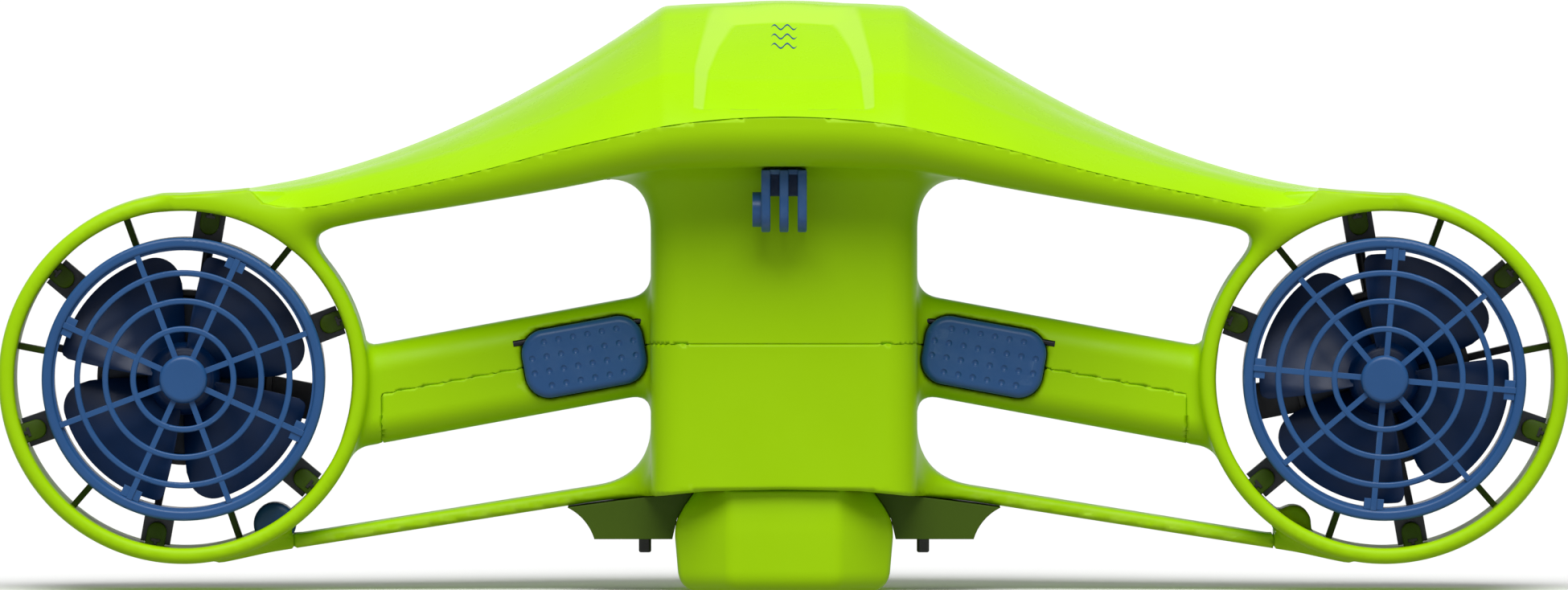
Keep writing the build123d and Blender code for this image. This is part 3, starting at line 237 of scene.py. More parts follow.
def frame_field(x, y, z):
    """The green frame before it is parted along the seam."""
    wing, above = wing_field(x, y, z, 0.0)
    column = rounded_box(x, y, COLUMN_HALF, COLUMN_HALF, COLUMN_CORNER)
    column = np.maximum(column, np.maximum(COLUMN_BASE - 8.0 - z, z - COLUMN_TOP))
    ring = ring_radius(x, z)
    guard = rounded_box(ring - (RING_OUT + RING_IN) / 2, y, RING_WALL / 2, RING_HALF, 2.5)
    body = smooth_min(wing, column, COLUMN_BLEND)
    body = smooth_min(body, strut_field(x, y, z), STRUT_BLEND)
    body = smooth_max(body, foot_line(x) - z, 1.6)
    body = smooth_min(body, bar_field(x, y, z), BAR_BLEND)
    body = smooth_min(body, guard, RING_BLEND)
    body = np.minimum(body, smooth_min(wing, guard, WING_BLEND))
    body = smooth_max(body, above, 0.5)
    body = smooth_max(body, RING_IN - ring, 1.0)
    lug = np.hypot(x - LUG_X, z - LUG_Z) - LUG_R
    lug = smooth_max(lug, np.abs(y - 7.0) - 13.0, 2.0)
    return smooth_min(body, lug, 2.0)


def hollow_field(x, y, z):
    """Everything scooped out of the frame, as one union."""
    inner = COLUMN_HALF - COLUMN_WALL
    room = rounded_box(x, y, inner, inner, COLUMN_CORNER - COLUMN_WALL)
    room = np.maximum(room, np.maximum(COLUMN_BASE + 3.0 - z, z - 141.0))
    mouth = np.maximum(rounded_box(x, y, 29.5, 39.0, 6.0), z - 50.0)
    tray, above = wing_field(x, y, z, TRAY_WALL)
    tray = np.maximum(tray, np.abs(x) - 166.0)
    along, across = along_bar(x, z)
    tube = rounded_box(y - BAR_Y - 3.0, across, 9.0, 13.2, 6.0)
    tube = np.maximum(tube, np.maximum(-6 - along, along - 88))
    return np.minimum(np.minimum(room, mouth), np.minimum(tray, tube))


def pocket_field(x, y, z):
    """Trigger pocket in the front of the bar, with a slot for the trigger's lever."""
    along, across = along_bar(x, z)
    along = along - (PAD_X - BAR_IN_X) / math.cos(BAR_ANGLE)
    pocket = rounded_box(along, across, 20.5, 11.6, 8.2)
    pocket = np.maximum(pocket, y - (BAR_Y - 9.0))
    slot = np.maximum(np.abs(along) - 4.5, np.abs(across - 1.0) - 5.0)
    slot = np.maximum(slot, np.maximum(y - BAR_Y, BAR_Y - 12 - y))
    return np.minimum(pocket, slot)


def shell_field(x, y, z):
    shell = cut(frame_field(x, y, z), hollow_field(x, y, z), 0.8)
    return cut(shell, pocket_field(x, y, z), 1.8)


def upper_field(x, y, z):
    return smooth_max(shell_field(x, y, z), -SEAM_LAP / 2 - lower_side(x, z), 0.25)


def lower_field(x, y, z):
    return smooth_max(shell_field(x, y, z), lower_side(x, z) - SEAM_LAP / 2, 0.25)


CORNERS = [(i, j, k) for i in (0, 1) for j in (0, 1) for k in (0, 1)]


def cell_vertices(values, cells):
    """One point per active cell: the middle of where the cell's edges cross zero."""
    total = np.zeros((len(cells), 3))
    count = np.zeros(len(cells))
    for a in CORNERS:
        for axis in range(3):
            if a[axis]:
                continue
            b = list(a)
            b[axis] = 1
            fa = values[tuple((cells + a).T)]
            fb = values[tuple((cells + b).T)]
            crossed = (fa < 0) != (fb < 0)
            t = np.where(crossed, fa / np.where(crossed, fa - fb, 1.0), 0.0)
            point = np.array(a, float) + t[:, None] * (np.array(b) - np.array(a))
            total += np.where(crossed[:, None], point, 0.0)
            count += crossed
    return total / count[:, None]


def cell_quads(values, number):
    """Quads round every grid edge that crosses zero."""
    quads = []
    inside = values < 0
    for axis in range(3):
        u, v = (axis + 1) % 3, (axis + 2) % 3
        first = np.moveaxis(inside, axis, 0)[:-1]
        second = np.moveaxis(inside, axis, 0)[1:]
        crossed = np.argwhere(first != second)
        leaving = first[tuple(crossed.T)]
        cells = np.zeros((len(crossed), 3), int)
        order = [axis] + [a for a in range(3) if a != axis]
        for column, a in enumerate(order):
            cells[:, a] = crossed[:, column]
        ring = []
        for du, dv in ((-1, -1), (0, -1), (0, 0), (-1, 0)):
            at = cells.copy()
            at[:, u] += du
            at[:, v] += dv
            ring.append(number[tuple(at.T)])
        ring = np.stack(ring, 1)
        ring[~leaving] = ring[~leaving][:, ::-1]
        quads.append(ring)
    return np.concatenate(quads)


def gradient(field, p, h=0.05):
    """Slope of a field at points p."""
    slopes = []
    for axis in range(3):
        step = np.zeros(3)
        step[axis] = h
        high, low = p + step, p - step
        slopes.append((field(*high.T) - field(*low.T)) / (2 * h))
    return np.stack(slopes, 1)


def skin(name, field, low, high, step, body="body"):
    """Closed smooth mesh on the zero level of a field, in metres."""
    axes = [np.arange(low[a] - 2 * step, high[a] + 3 * step, step) for a in range(3)]
    x, y, z = np.meshgrid(*axes, indexing="ij", sparse=True)
    values = field(x, y, z)
    values = np.broadcast_to(values, [len(a) for a in axes])
    inside = [
        values[i:len(axes[0]) - 1 + i, j:len(axes[1]) - 1 + j, k:len(axes[2]) - 1 + k] < 0
        for i, j, k in CORNERS
    ]
    count = sum(v.astype(int) for v in inside)
    active = (count > 0) & (count < 8)
    cells = np.argwhere(active)
    number = np.full(active.shape, -1)
    number[tuple(cells.T)] = np.arange(len(cells))
    origin = np.array([a[0] for a in axes])
    points = origin + step * (cells + cell_vertices(values, cells))
    start = points.copy()
    for _ in range(4):
        slope = gradient(field, points)
        size = np.maximum((slope**2).sum(1), 0.2)
        points = points - (field(*points.T) / size)[:, None] * slope
        points = start + np.clip(points - start, -0.7 * step, 0.7 * step)
    normals = gradient(field, points)
    normals /= np.maximum(np.linalg.norm(normals, axis=1), 1e-6)[:, None]
    mesh = bpy.data.meshes.new(name)
    quads = cell_quads(values, number)
    mesh.vertices.add(len(points))
    mesh.vertices.foreach_set("co", (points * MM).astype(np.float32).ravel())
    mesh.loops.add(quads.size)
    mesh.loops.foreach_set("vertex_index", quads.astype(np.int32).ravel())
    mesh.polygons.add(len(quads))
    mesh.polygons.foreach_set("loop_start", np.arange(0, quads.size, 4, dtype=np.int32))
    mesh.update(calc_edges=True)
    mesh.shade_smooth()
    mesh.normals_split_custom_set_from_vertices(normals)
    piece = bpy.data.objects.new(name, mesh)
    bpy.context.scene.collection.objects.link(piece)
    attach(piece, body)
    return piece


# ---------------------------------------------------------------- hood
CREASE_SOFT = 3.0           # a crease is rounded over this length on each side
CREST_SOFT = 10.0
CORNER_SOFT = 1.4           # the same, along the wing at the middle part's corners
PANEL_DEEP = 2.6
PANEL_TOP_Y = -25.0         # the recess's floor ends here and its upper bank runs to the crest
PANEL_FOOT = 160.2          # height of the recess's lower edge
PANEL_REACH = 38.0          # columns inboard of this bend to follow the recess
# recess: height, half width of the floor, half width at the hood's surface
PANEL = np.array([
    (160.0, 26.5, 30.0), (174.0, 24.7, 29.6), (182.0, 21.2, 27.7), (188.0, 17.0, 26.2),
    (190.0, 14.5, 25.9), (195.0, 10.0, 24.0),
])


def hood_station(x, column):
    """A wing value softened along x, so that the middle part's corners are round."""
    reach = np.linspace(-CORNER_SOFT, CORNER_SOFT, 9)
    return np.mean([station(x + r, column) for r in reach], 0)


def rounded_path(points, softs, counts, bulges):
    """Points along a polyline whose corners are rounded and whose runs bulge outwards."""
    path = []
    last = len(points) - 1
    starts, ends = [], []
    for i in range(last):
        run = points[i + 1] - points[i]
        length = np.linalg.norm(run)
        unit = run / length
        before = 0.0 if i == 0 else min(softs[i - 1], 0.45 * length)
        after = 0.0 if i == last - 1 else min(softs[i], 0.45 * length)
        starts.append(points[i] + unit * before)
        ends.append(points[i + 1] - unit * after)
    for i in range(last):
        run = ends[i] - starts[i]
        normal = np.array([-run[1], run[0]]) / max(np.linalg.norm(run), 1e-9)
        for t in np.linspace(0, 1, counts[i], endpoint=False):
            path.append(starts[i] + run * t + normal * bulges[i] * 4 * t * (1 - t))
        if i < last - 1:
            for t in np.linspace(0, 1, 7, endpoint=False):
                a = starts[i + 1] * t * t + ends[i] * (1 - t) ** 2
                path.append(a + points[i + 1] * 2 * t * (1 - t))
    path.append(points[-1])
    return np.array(path)


def hood_grid(xs, wall):
    """Grid of points over the hood's surface, drawn in by the wall."""
    rows = []
    for x in xs:
        crest = float(hood_station(x, 1))
        crease = float(hood_station(x, 2))
        edge = float(frame_top(x)) - HOOD_LAP
        y_front = float(hood_station(x, 5)) - wall
        y_crease = float(hood_station(x, 6)) - wall
        y_crest = float(hood_station(x, 7))
        crest = max(crest - 1.15 * wall, edge + 0.3)
        crease = min(max(crease - 1.15 * wall, edge + 0.2), crest - 0.05)
        bulge = min(1.0, (crest - edge) / 25)
        half = [(-y_front, edge), (-y_crease, crease), (-y_crest, crest)]
        points = [np.array(p) for p in half + [(-y, z) for y, z in half[::-1]]]
        section = rounded_path(
            points,
            [CREASE_SOFT, CREST_SOFT, CREST_SOFT, CREASE_SOFT],
            [16, 34, 10, 34, 16],
            [0.4 * bulge, 0.9 * bulge, 0.3 * bulge, 0.9 * bulge, 0.4 * bulge],
        )
        rows.append(np.column_stack([np.full(len(section), x), section]))
    return np.array(rows)


def sink_panel(grid):
    """The shallow recess on the front of the hood: its columns follow the recess's outline, and
    its floor is pressed in along the surface's normals. It also gives a mask of the recess's
    sloped walls, where the hood's material paints a highlight."""
    along = np.gradient(grid, axis=0)
    across = np.gradient(grid, axis=1)
    normal = np.cross(along, across)
    normal /= np.maximum(np.linalg.norm(normal, axis=2), 1e-9)[..., None]
    x, y, z = grid[..., 0], grid[..., 1], grid[..., 2]
    floor = np.interp(z, PANEL[:, 0], PANEL[:, 1])
    brim = np.interp(z, PANEL[:, 0], PANEL[:, 2])
    near = np.clip((12.0 - y) / 24.0, 0, 1)
    floor = PANEL[0, 1] + (floor - PANEL[0, 1]) * near
    brim = PANEL[0, 2] + (brim - PANEL[0, 2]) * near
    ax = np.abs(x)
    moved = ax * floor / PANEL[0, 1]
    bank = (ax - PANEL[0, 1]) / (PANEL[0, 2] - PANEL[0, 1])
    moved = np.where(bank > 0, floor + bank * (brim - floor), moved)
    rest = (ax - PANEL[0, 2]) / (PANEL_REACH - PANEL[0, 2])
    moved = np.where(bank > 1, brim + rest * (PANEL_REACH - brim), moved)
    moved = np.where(ax > PANEL_REACH, ax, moved)
    side = np.clip(1 - bank, 0, 1)
    foot = np.clip((z - PANEL_FOOT) / 0.9, 0, 1)
    top = np.clip((-12.0 - y) / (-12.0 - PANEL_TOP_Y), 0, 1)
    deep = PANEL_DEEP * np.minimum(side, np.minimum(foot, top))
    out = np.where(normal[..., 2:] < 0, -normal, normal)
    sunk = grid - out * deep[..., None]
    sunk[..., 0] = np.sign(x) * moved
    sloped = np.minimum(side, np.minimum(foot, top))
    # mask of the recess's sloped walls, where the hood's material paints a highlight
    bank = np.clip(np.minimum(sloped, 1 - sloped) * 40, 0, 1) * (foot > 0.99)
    return sunk, bank


def grid_faces(rows, columns, start, flip):
    i, j = np.meshgrid(np.arange(rows - 1), np.arange(columns - 1), indexing="ij")
    a = start + i * columns + j
    quads = np.stack([a, a + columns, a + columns + 1, a + 1], -1).reshape(-1, 4)
    return quads[:, ::-1] if flip else quads


def border_of(rows, columns):
    """Indices round the edge of a grid, in order."""
    border = [i * columns for i in range(rows)]
    border += [(rows - 1) * columns + j for j in range(1, columns)]
    border += [i * columns + columns - 1 for i in range(rows - 2, -1, -1)]
    border += [j for j in range(columns - 2, 0, -1)]
    return border


def make_hood():
    tip = HOOD_TIP - 0.3
    side = np.concatenate([
        np.arange(0, 26.4, 1.2), np.linspace(26.5, 30.0, 7), np.arange(31.0, 37, 1.2),
        np.arange(37.5, 44, 0.5), np.arange(44.5, tip, 1.8), [tip],
    ])
    xs = np.concatenate([-side[:0:-1], side])
    outer, bank = sink_panel(hood_grid(xs, 0.0))
    inner, _ = sink_panel(hood_grid(xs, HOOD_WALL))
    inner[..., 0] *= 0.94
    rows, columns = outer.shape[:2]
    count = rows * columns
    points = np.concatenate([outer.reshape(-1, 3), inner.reshape(-1, 3)])
    faces = [grid_faces(rows, columns, 0, False), grid_faces(rows, columns, count, True)]
    border = np.array(border_of(rows, columns))
    after = np.roll(border, -1)
    faces.append(np.stack([after, border, border + count, after + count], 1))
    mesh = bpy.data.meshes.new("hood")
    mesh.from_pydata((points * MM).tolist(), [], np.concatenate(faces).tolist())
    mesh.update()
    work = bmesh.new()
    work.from_mesh(mesh)
    bmesh.ops.recalc_face_normals(work, faces=work.faces)
    work.to_mesh(mesh)
    work.free()
    mesh.shade_smooth()
    # the bank attribute carries that mask: a painted highlight on the recess's sloped walls
    pale = mesh.attributes.new("bank", "FLOAT", "POINT")
    bank_highlight = np.concatenate([bank.ravel(), np.zeros(count)])
    pale.data.foreach_set("value", bank_highlight.astype(np.float32))
    hood = bpy.data.objects.new("hood", mesh)
    bpy.context.scene.collection.objects.link(hood)
    mesh.set_sharp_from_angle(angle=math.radians(50))
    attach(hood, "body")
    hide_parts("top_cover", "hood_panel")
    return hood, outer


# ---------------------------------------------------------------- materials
def new_material(name):
    material = bpy.data.materials.new(name)
    material.use_nodes = True
    tree = material.node_tree
    shader = tree.nodes["Principled BSDF"]
    place = tree.nodes.new("ShaderNodeTexCoord").outputs["Object"]
    return material, tree, shader, place


def noise(tree, place, scale, detail=3.0, rough=0.55):
    node = tree.nodes.new("ShaderNodeTexNoise")
    node.inputs["Scale"].default_value = scale
    node.inputs["Detail"].default_value = detail
    node.inputs["Roughness"].default_value = rough
    tree.links.new(place, node.inputs["Vector"])
    return node.outputs["Fac"]


def remap(tree, value, low, high, start=0.3, end=0.7):
    node = tree.nodes.new("ShaderNodeMapRange")
    node.inputs["From Min"].default_value = start
    node.inputs["From Max"].default_value = end
    node.inputs["To Min"].default_value = low
    node.inputs["To Max"].default_value = high
    tree.links.new(value, node.inputs["Value"])
    return node.outputs["Result"]


def linear(colour):
    """Linear light from a colour in 0 to 255."""
    parts = []
    for c in colour:
        c = c / 255
        parts.append(c / 12.92 if c <= 0.04045 else ((c + 0.055) / 1.055) ** 2.4)
    return (*parts, 1.0)


def finish_of(name, colour, other, rough, grain, depth, metal=0.0, coat=0.0, specular=0.5,
              edge=0.0, coat_rough=0.08, bevel=0.0, sheen=0.0, wide=28.0, bank=None, hollow=0.0):
    """Moulded or metal surface: two close tones in soft clouds, uneven gloss, a fine grain and paler
    edges, which stand for wear and, on the blue rubber, also paint a highlight round the dents' rims."""
    material, tree, shader, place = new_material(name)
    shader.inputs["Metallic"].default_value = metal
    shader.inputs["Coat Weight"].default_value = coat
    shader.inputs["Coat Roughness"].default_value = coat_rough
    shader.inputs["Specular IOR Level"].default_value = specular
    shader.inputs["Sheen Weight"].default_value = sheen
    clouds = noise(tree, place, wide, 4.0)
    tone = tree.nodes.new("ShaderNodeMix")
    tone.data_type = "RGBA"
    tone.inputs["A"].default_value = linear(colour)
    tone.inputs["B"].default_value = linear(other)
    tree.links.new(remap(tree, clouds, 0.0, 1.0), tone.inputs["Factor"])
    colour_out = tone.outputs["Result"]
    # paler convex edges: wear, and on the blue rubber a painted highlight on the dents' rims
    if edge:
        wear_and_rim_highlight = tree.nodes.new("ShaderNodeMix")
        wear_and_rim_highlight.data_type = "RGBA"
        pale = tuple(min(255, c + (255 - c) * 0.35) for c in colour)
        wear_and_rim_highlight.inputs["B"].default_value = linear(pale)
        point = tree.nodes.new("ShaderNodeNewGeometry").outputs["Pointiness"]
        patch = remap(tree, noise(tree, place, 160.0, 5.0), 0.0, 1.0, 0.42, 0.62)
        rim = remap(tree, point, 0.0, edge, 0.53, 0.60)
        both = tree.nodes.new("ShaderNodeMath")
        both.operation = "MULTIPLY"
        tree.links.new(rim, both.inputs[0])
        tree.links.new(patch, both.inputs[1])
        tree.links.new(both.outputs["Value"], wear_and_rim_highlight.inputs["Factor"])
        tree.links.new(colour_out, wear_and_rim_highlight.inputs["A"])
        colour_out = wear_and_rim_highlight.outputs["Result"]
    if hollow:
        # painted shade: dents are darker than the surface round them
        dark = tree.nodes.new("ShaderNodeMix")
        dark.data_type = "RGBA"
        dark.inputs["B"].default_value = linear(tuple(c * 0.35 for c in colour))
        point = tree.nodes.new("ShaderNodeNewGeometry").outputs["Pointiness"]
        tree.links.new(remap(tree, point, hollow, 0.0, 0.44, 0.49), dark.inputs["Factor"])
        tree.links.new(colour_out, dark.inputs["A"])
        colour_out = dark.outputs["Result"]
    # painted highlight: where the bank attribute is set, the colour is mixed towards a paler one
    if bank:
        sloped = tree.nodes.new("ShaderNodeAttribute")
        sloped.attribute_name = "bank"
        paler = tree.nodes.new("ShaderNodeMix")
        paler.data_type = "RGBA"
        paler.inputs["B"].default_value = linear(bank)
        tree.links.new(sloped.outputs["Fac"], paler.inputs["Factor"])
        tree.links.new(colour_out, paler.inputs["A"])
        colour_out = paler.outputs["Result"]
    tree.links.new(colour_out, shader.inputs["Base Color"])
    smear = noise(tree, place, 60.0, 6.0, 0.65)
    tree.links.new(remap(tree, smear, rough * 0.82, rough * 1.2), shader.inputs["Roughness"])
    bump = tree.nodes.new("ShaderNodeBump")
    bump.inputs["Strength"].default_value = depth
    bump.inputs["Distance"].default_value = 0.00006
    tree.links.new(noise(tree, place, grain, 2.0), bump.inputs["Height"])
    if bevel:
        soft = tree.nodes.new("ShaderNodeBevel")
        soft.samples = 4
        soft.inputs["Radius"].default_value = bevel
        tree.links.new(soft.outputs["Normal"], bump.inputs["Normal"])
    tree.links.new(bump.outputs["Normal"], shader.inputs["Normal"])
    return material


GLOSS, GLOSS_OTHER = (163, 220, 0), (166, 223, 0)
SATIN, SATIN_OTHER = (157, 207, 1), (160, 210, 2)

MATERIALS = {
    "green_gloss": finish_of("green_gloss", GLOSS, GLOSS_OTHER, 0.25, 900, 0.10,
                             coat=0.15, specular=0.3, edge=0.2),
    "green_satin": finish_of("green_satin", SATIN, SATIN_OTHER, 0.42, 2600, 0.35,
                             specular=0.12, edge=0.2, bevel=0.0006),
    # green_shadow: a darker copy of the green, painted shade for parts that sit in shade, the skirts
    # under the lip and the ring tongues
    "green_shadow": finish_of("green_shadow", (64, 88, 4), (60, 83, 3), 0.5, 2600, 0.4, specular=0.2,
                              bevel=0.0005),
    "blue_satin": finish_of("blue_satin", (34, 76, 126), (39, 83, 135), 0.36, 2400, 0.3,
                            specular=0.3, edge=0.25, bevel=0.0003),
    # blue rubber: edge paints a highlight round the dents' rims, hollow paints shade inside them
    "blue_rubber": finish_of("blue_rubber", (24, 50, 90), (28, 57, 100), 0.4, 3000, 0.4,
                             specular=0.35, edge=0.5, hollow=0.75),
    "navy_duct": finish_of("navy_duct", (10, 20, 34), (14, 26, 42), 0.4, 2200, 0.35,
                           bevel=0.0003),
    "navy_blade": finish_of("navy_blade", (0, 32, 70), (2, 40, 82), 0.34, 1600, 0.2,
                            specular=0.25, bevel=0.0003),
    "black_plastic": finish_of("black_plastic", (22, 22, 24), (30, 30, 33), 0.45, 2400, 0.4,
                               bevel=0.0003),
    "grey_plastic": finish_of("grey_plastic", (92, 96, 100), (104, 108, 112), 0.48, 2400, 0.4,
                              bevel=0.0003),
    "steel": finish_of("steel", (176, 178, 182), (196, 198, 202), 0.28, 5000, 0.3, metal=1.0,
                       bevel=0.0002),
    "aluminium": finish_of("aluminium", (26, 34, 48), (32, 41, 56), 0.42, 3600, 0.35,
                           metal=0.5, bevel=0.0003),
    "copper": finish_of("copper", (186, 104, 62), (206, 126, 76), 0.34, 2600, 0.5, metal=1.0),
    "magnet": finish_of("magnet", (120, 122, 126), (140, 142, 146), 0.32, 4200, 0.3, metal=1.0),
    "seal_rubber": finish_of("seal_rubber", (20, 20, 21), (28, 28, 29), 0.65, 3200, 0.6,
                             sheen=0.1),
    "cell_wrap": finish_of("cell_wrap", (20, 92, 96), (26, 104, 108), 0.3, 1500, 0.2, coat=0.3),
    "board": finish_of("board", (16, 74, 40), (22, 88, 48), 0.35, 3000, 0.5, coat=0.2),
    "lead": finish_of("lead", (24, 24, 26), (32, 32, 34), 0.5, 2600, 0.4),
}

for node in NODES.values():
    for i, old in enumerate(node.data.materials):
        node.data.materials[i] = MATERIALS[old.name.split(".")[0]]
# the hinge pins are blackened steel
NODES["trigger_pins"].data.materials[0] = finish_of(
    "black_steel", (30, 31, 34), (38, 39, 42), 0.4, 4000, 0.3, metal=0.8)

# ---------------------------------------------------------------- green mouldings
STEP = 1.5
upper = skin("frame_shell", upper_field, frame_low, frame_high, STEP)
upper.data.materials.append(MATERIALS["green_satin"])
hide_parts("upper_frame")
lower = skin("housing_shell", lower_field, housing_low - 6.0, housing_high + 6.0, STEP)
lower.data.materials.append(MATERIALS["green_satin"])
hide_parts("lower_housing")
hood, hood_face = make_hood()
# the hood's gloss green, with a painted highlight on the recess's sloped walls
hood.data.materials.append(
    finish_of("green_hood", GLOSS, GLOSS_OTHER, 0.28, 900, 0.04, coat=0.05, specular=0.12,
              bank=(180, 228, 70))
)


# ---------------------------------------------------------------- small green and blue parts
def joined_piece(name, parts, body, material, angle=35):
    """One object from several closed meshes, each given as points in millimetres and faces."""
    points, faces, start = [], [], 0
    for part_points, part_faces in parts:
        points += [tuple(p) for p in np.asarray(part_points) * MM]
        faces += [[i + start for i in face] for face in part_faces]
        start += len(part_points)
    mesh = bpy.data.meshes.new(name)
    mesh.from_pydata(points, [], faces)
    work = bmesh.new()
    work.from_mesh(mesh)
    bmesh.ops.recalc_face_normals(work, faces=work.faces)
    work.to_mesh(mesh)
    work.free()
    mesh.shade_smooth()
    mesh.set_sharp_from_angle(angle=math.radians(angle))
    mesh.materials.append(MATERIALS[material])
    piece = bpy.data.objects.new(name, mesh)
    bpy.context.scene.collection.objects.link(piece)
    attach(piece, body)
    return piece


def stack(loops):
    """Closed mesh through loops of equal length, with a flat cap at each end."""
    count = len(loops[0])
    points = np.concatenate(loops)
    faces = []
    for level in range(len(loops) - 1):
        for i in range(count):
            j = (i + 1) % count
            a, b = level * count, (level + 1) * count
            faces.append([a + i, a + j, b + j, b + i])
    faces.append(list(range(count))[::-1])
    last = (len(loops) - 1) * count
    faces.append(list(range(last, last + count)))
    return points, faces


def band(loops):
    """Closed mesh through loops of equal length, the last joined to the first."""
    count, levels = len(loops[0]), len(loops)
    faces = []
    for level in range(levels):
        a, b = level * count, ((level + 1) % levels) * count
        for i in range(count):
            j = (i + 1) % count
            faces.append([a + i, a + j, b + j, b + i])
    return np.concatenate(loops), faces


def lathe(profile, centre, segments=72):
    """Loops turned about an axis along Y; a profile is radius and y, in order."""
    loops = []
    for radius, y in profile:
        turn = np.linspace(0, 2 * math.pi, segments, endpoint=False)
        loop = np.column_stack([
            centre[0] + radius * np.cos(turn), np.full(segments, y), centre[1] + radius * np.sin(turn)
        ])
        loops.append(loop)
    return loops


def turned_solid(profile, centre, segments=72):
    return stack(lathe(profile, centre, segments))


def turned_ring(profile, centre, segments=72):
    """A turned body with a hole: its last profile point joins its first."""
    return band(lathe(profile, centre, segments))


def front_loop(outline, y):
    """An outline given as x and z, placed at a depth."""
    outline = np.asarray(outline)
    return np.column_stack([outline[:, 0], np.full(len(outline), y), outline[:, 1]])


def ring_point(side, radius, angle, offset=0.0):
    """Front view place at a radius and angle of a thruster, moved sideways by an offset."""
    turn = math.radians(angle if side < 0 else 180.0 - angle)
    return (
        side * RING_X + radius * math.cos(turn) - offset * math.sin(turn),
        RING_Z + radius * math.sin(turn) + offset * math.cos(turn),
    )


TONGUE_HALF = 3.25
TONGUE_TIP = 51.45
TONGUE_FRONT = -15.5
TONGUE_BACK = -12.2
ARM_ANGLES = (20.6, 80.6, 140.0, 199.0, 260.0, 320.0)
RIB_ANGLES = (51.0, 110.0, 169.0, 229.0, 289.0)
RIB_HALF = 1.05


def tongue(side, angle):
    """Round-ended tongue that reaches in from the guard ring, with a softened front edge."""
    loops = []
    for y, inset in ((TONGUE_BACK, 0.0), (TONGUE_FRONT + 0.7, 0.0), (TONGUE_FRONT + 0.2, 0.2),
                     (TONGUE_FRONT, 0.7)):
        half = TONGUE_HALF - inset
        outline = [ring_point(side, RING_IN + 1.2, angle, -half)]
        for turn in np.linspace(-90, 90, 15):
            t = math.radians(turn)
            outline.append(
                ring_point(side, TONGUE_TIP - half * math.cos(t), angle, half * math.sin(t))
            )
        outline.append(ring_point(side, RING_IN + 1.2, angle, half))
        loops.append(front_loop(outline, y))
    return stack(loops)


def plate(side, angle, inner, outer, half, front, back, soft=0.3):
    """Small block set radially in a thruster, its front and back edges softened."""
    loops = []
    for y, inset in ((back, soft), (back - soft, 0.0), (front + soft, 0.0), (front, soft)):
        outline = [
            ring_point(side, inner, angle, -half + inset), ring_point(side, outer, angle, -half + inset),
            ring_point(side, outer, angle, half - inset), ring_point(side, inner, angle, half - inset),
        ]
        loops.append(front_loop(outline, y))
    return stack(loops)


for name, side in (("left", -1), ("right", 1)):
    # the tongues and ribs take the green painted darker as shade
    parts = [tongue(side, angle) for angle in ARM_ANGLES]
    parts += [plate(side, a, GRILLE_R - 0.3, RING_IN + 1.0, RIB_HALF, -6.0, 6.0) for a in RIB_ANGLES]
    joined_piece(f"ring_fittings_{name}", parts, "body", "green_shadow")
    # painted shade: small black plates on the tongues' fronts by the ring stand in for the dark notches
    # there
    parts = []
    for angle in ARM_ANGLES:
        parts.append(plate(side, angle, RING_IN - 1.9, RING_IN - 0.9, 1.6, -15.9, -15.2, 0.15))
        parts.append(plate(side, angle, RING_IN - 0.9, RING_IN + 0.1, 0.6, -15.9, -15.2, 0.15))
    joined_piece(f"notch_shade_{name}", parts, "body", "black_plastic")

port_low, port_high = box_mm("charge_cap")
port = ((port_low[0] + port_high[0]) / 2, (port_low[2] + port_high[2]) / 2)
surround = turned_solid(
    [(4.6, -13.0), (6.0, -12.7), (6.8, -11.9), (7.0, -10.8), (7.0, 7.2), (6.8, 7.7), (6.4, 7.9)], port
)
joined_piece("port_surround", [surround], "body", "blue_satin", 50)


# ---------------------------------------------------------------- battery pod
POD = np.array([
    (-2.0, 34.4), (0.0, 34.5), (6.0, 35.0), (17.6, 36.0), (20.5, 36.0), (24.0, 35.1), (28.0, 32.9),
    (32.3, 29.8), (36.0, 27.1),
])
POD_HALF_Y = 40.0
POD_FLAT = 18.0             # half width of the flat front
POD_CORNER = 14.0           # how far the corner planes run back
POD_TOP = 34.0
BATTERY = "battery"
CASE_HALF = (29.0, 38.5)
CASE_WALL = 1.5
CASE_TOP = box_mm("battery_case")[1][2]


def pod_field(x, y, z):
    """Eight-sided pod with soft edges and shoulders that curve in, hollow inside."""
    half_x = np.interp(z, POD[:, 0], POD[:, 1])
    half_y = POD_HALF_Y - 0.12 * (36.0 - half_x)
    run = half_x - POD_FLAT
    slant = (np.abs(x) - POD_FLAT) * POD_CORNER + (np.abs(y) - half_y) * run
    slant = slant / np.hypot(POD_CORNER, run)
    body = smooth_max(np.abs(x) - half_x, np.abs(y) - half_y, 1.5)
    body = smooth_max(body, slant, 1.5)
    body = smooth_max(body, -z, 7.0)
    body = smooth_max(body, z - POD_TOP, 0.6)
    room = np.maximum(rounded_box(x, y, 24.0, 28.0, 3.5), 6.0 - z)
    return cut(body, room, 0.8)


def rounded_rectangle(half_a, half_b, r, z):
    """Loop round a rounded rectangle at a height."""
    loop = []
    for corner, (sa, sb) in enumerate(((1, 1), (-1, 1), (-1, -1), (1, -1))):
        for t in np.linspace(0, math.pi / 2, 9):
            turn = t + corner * math.pi / 2
            loop.append((sa * (half_a - r) + r * math.cos(turn),
                         sb * (half_b - r) + r * math.sin(turn), z))
    return np.array(loop)


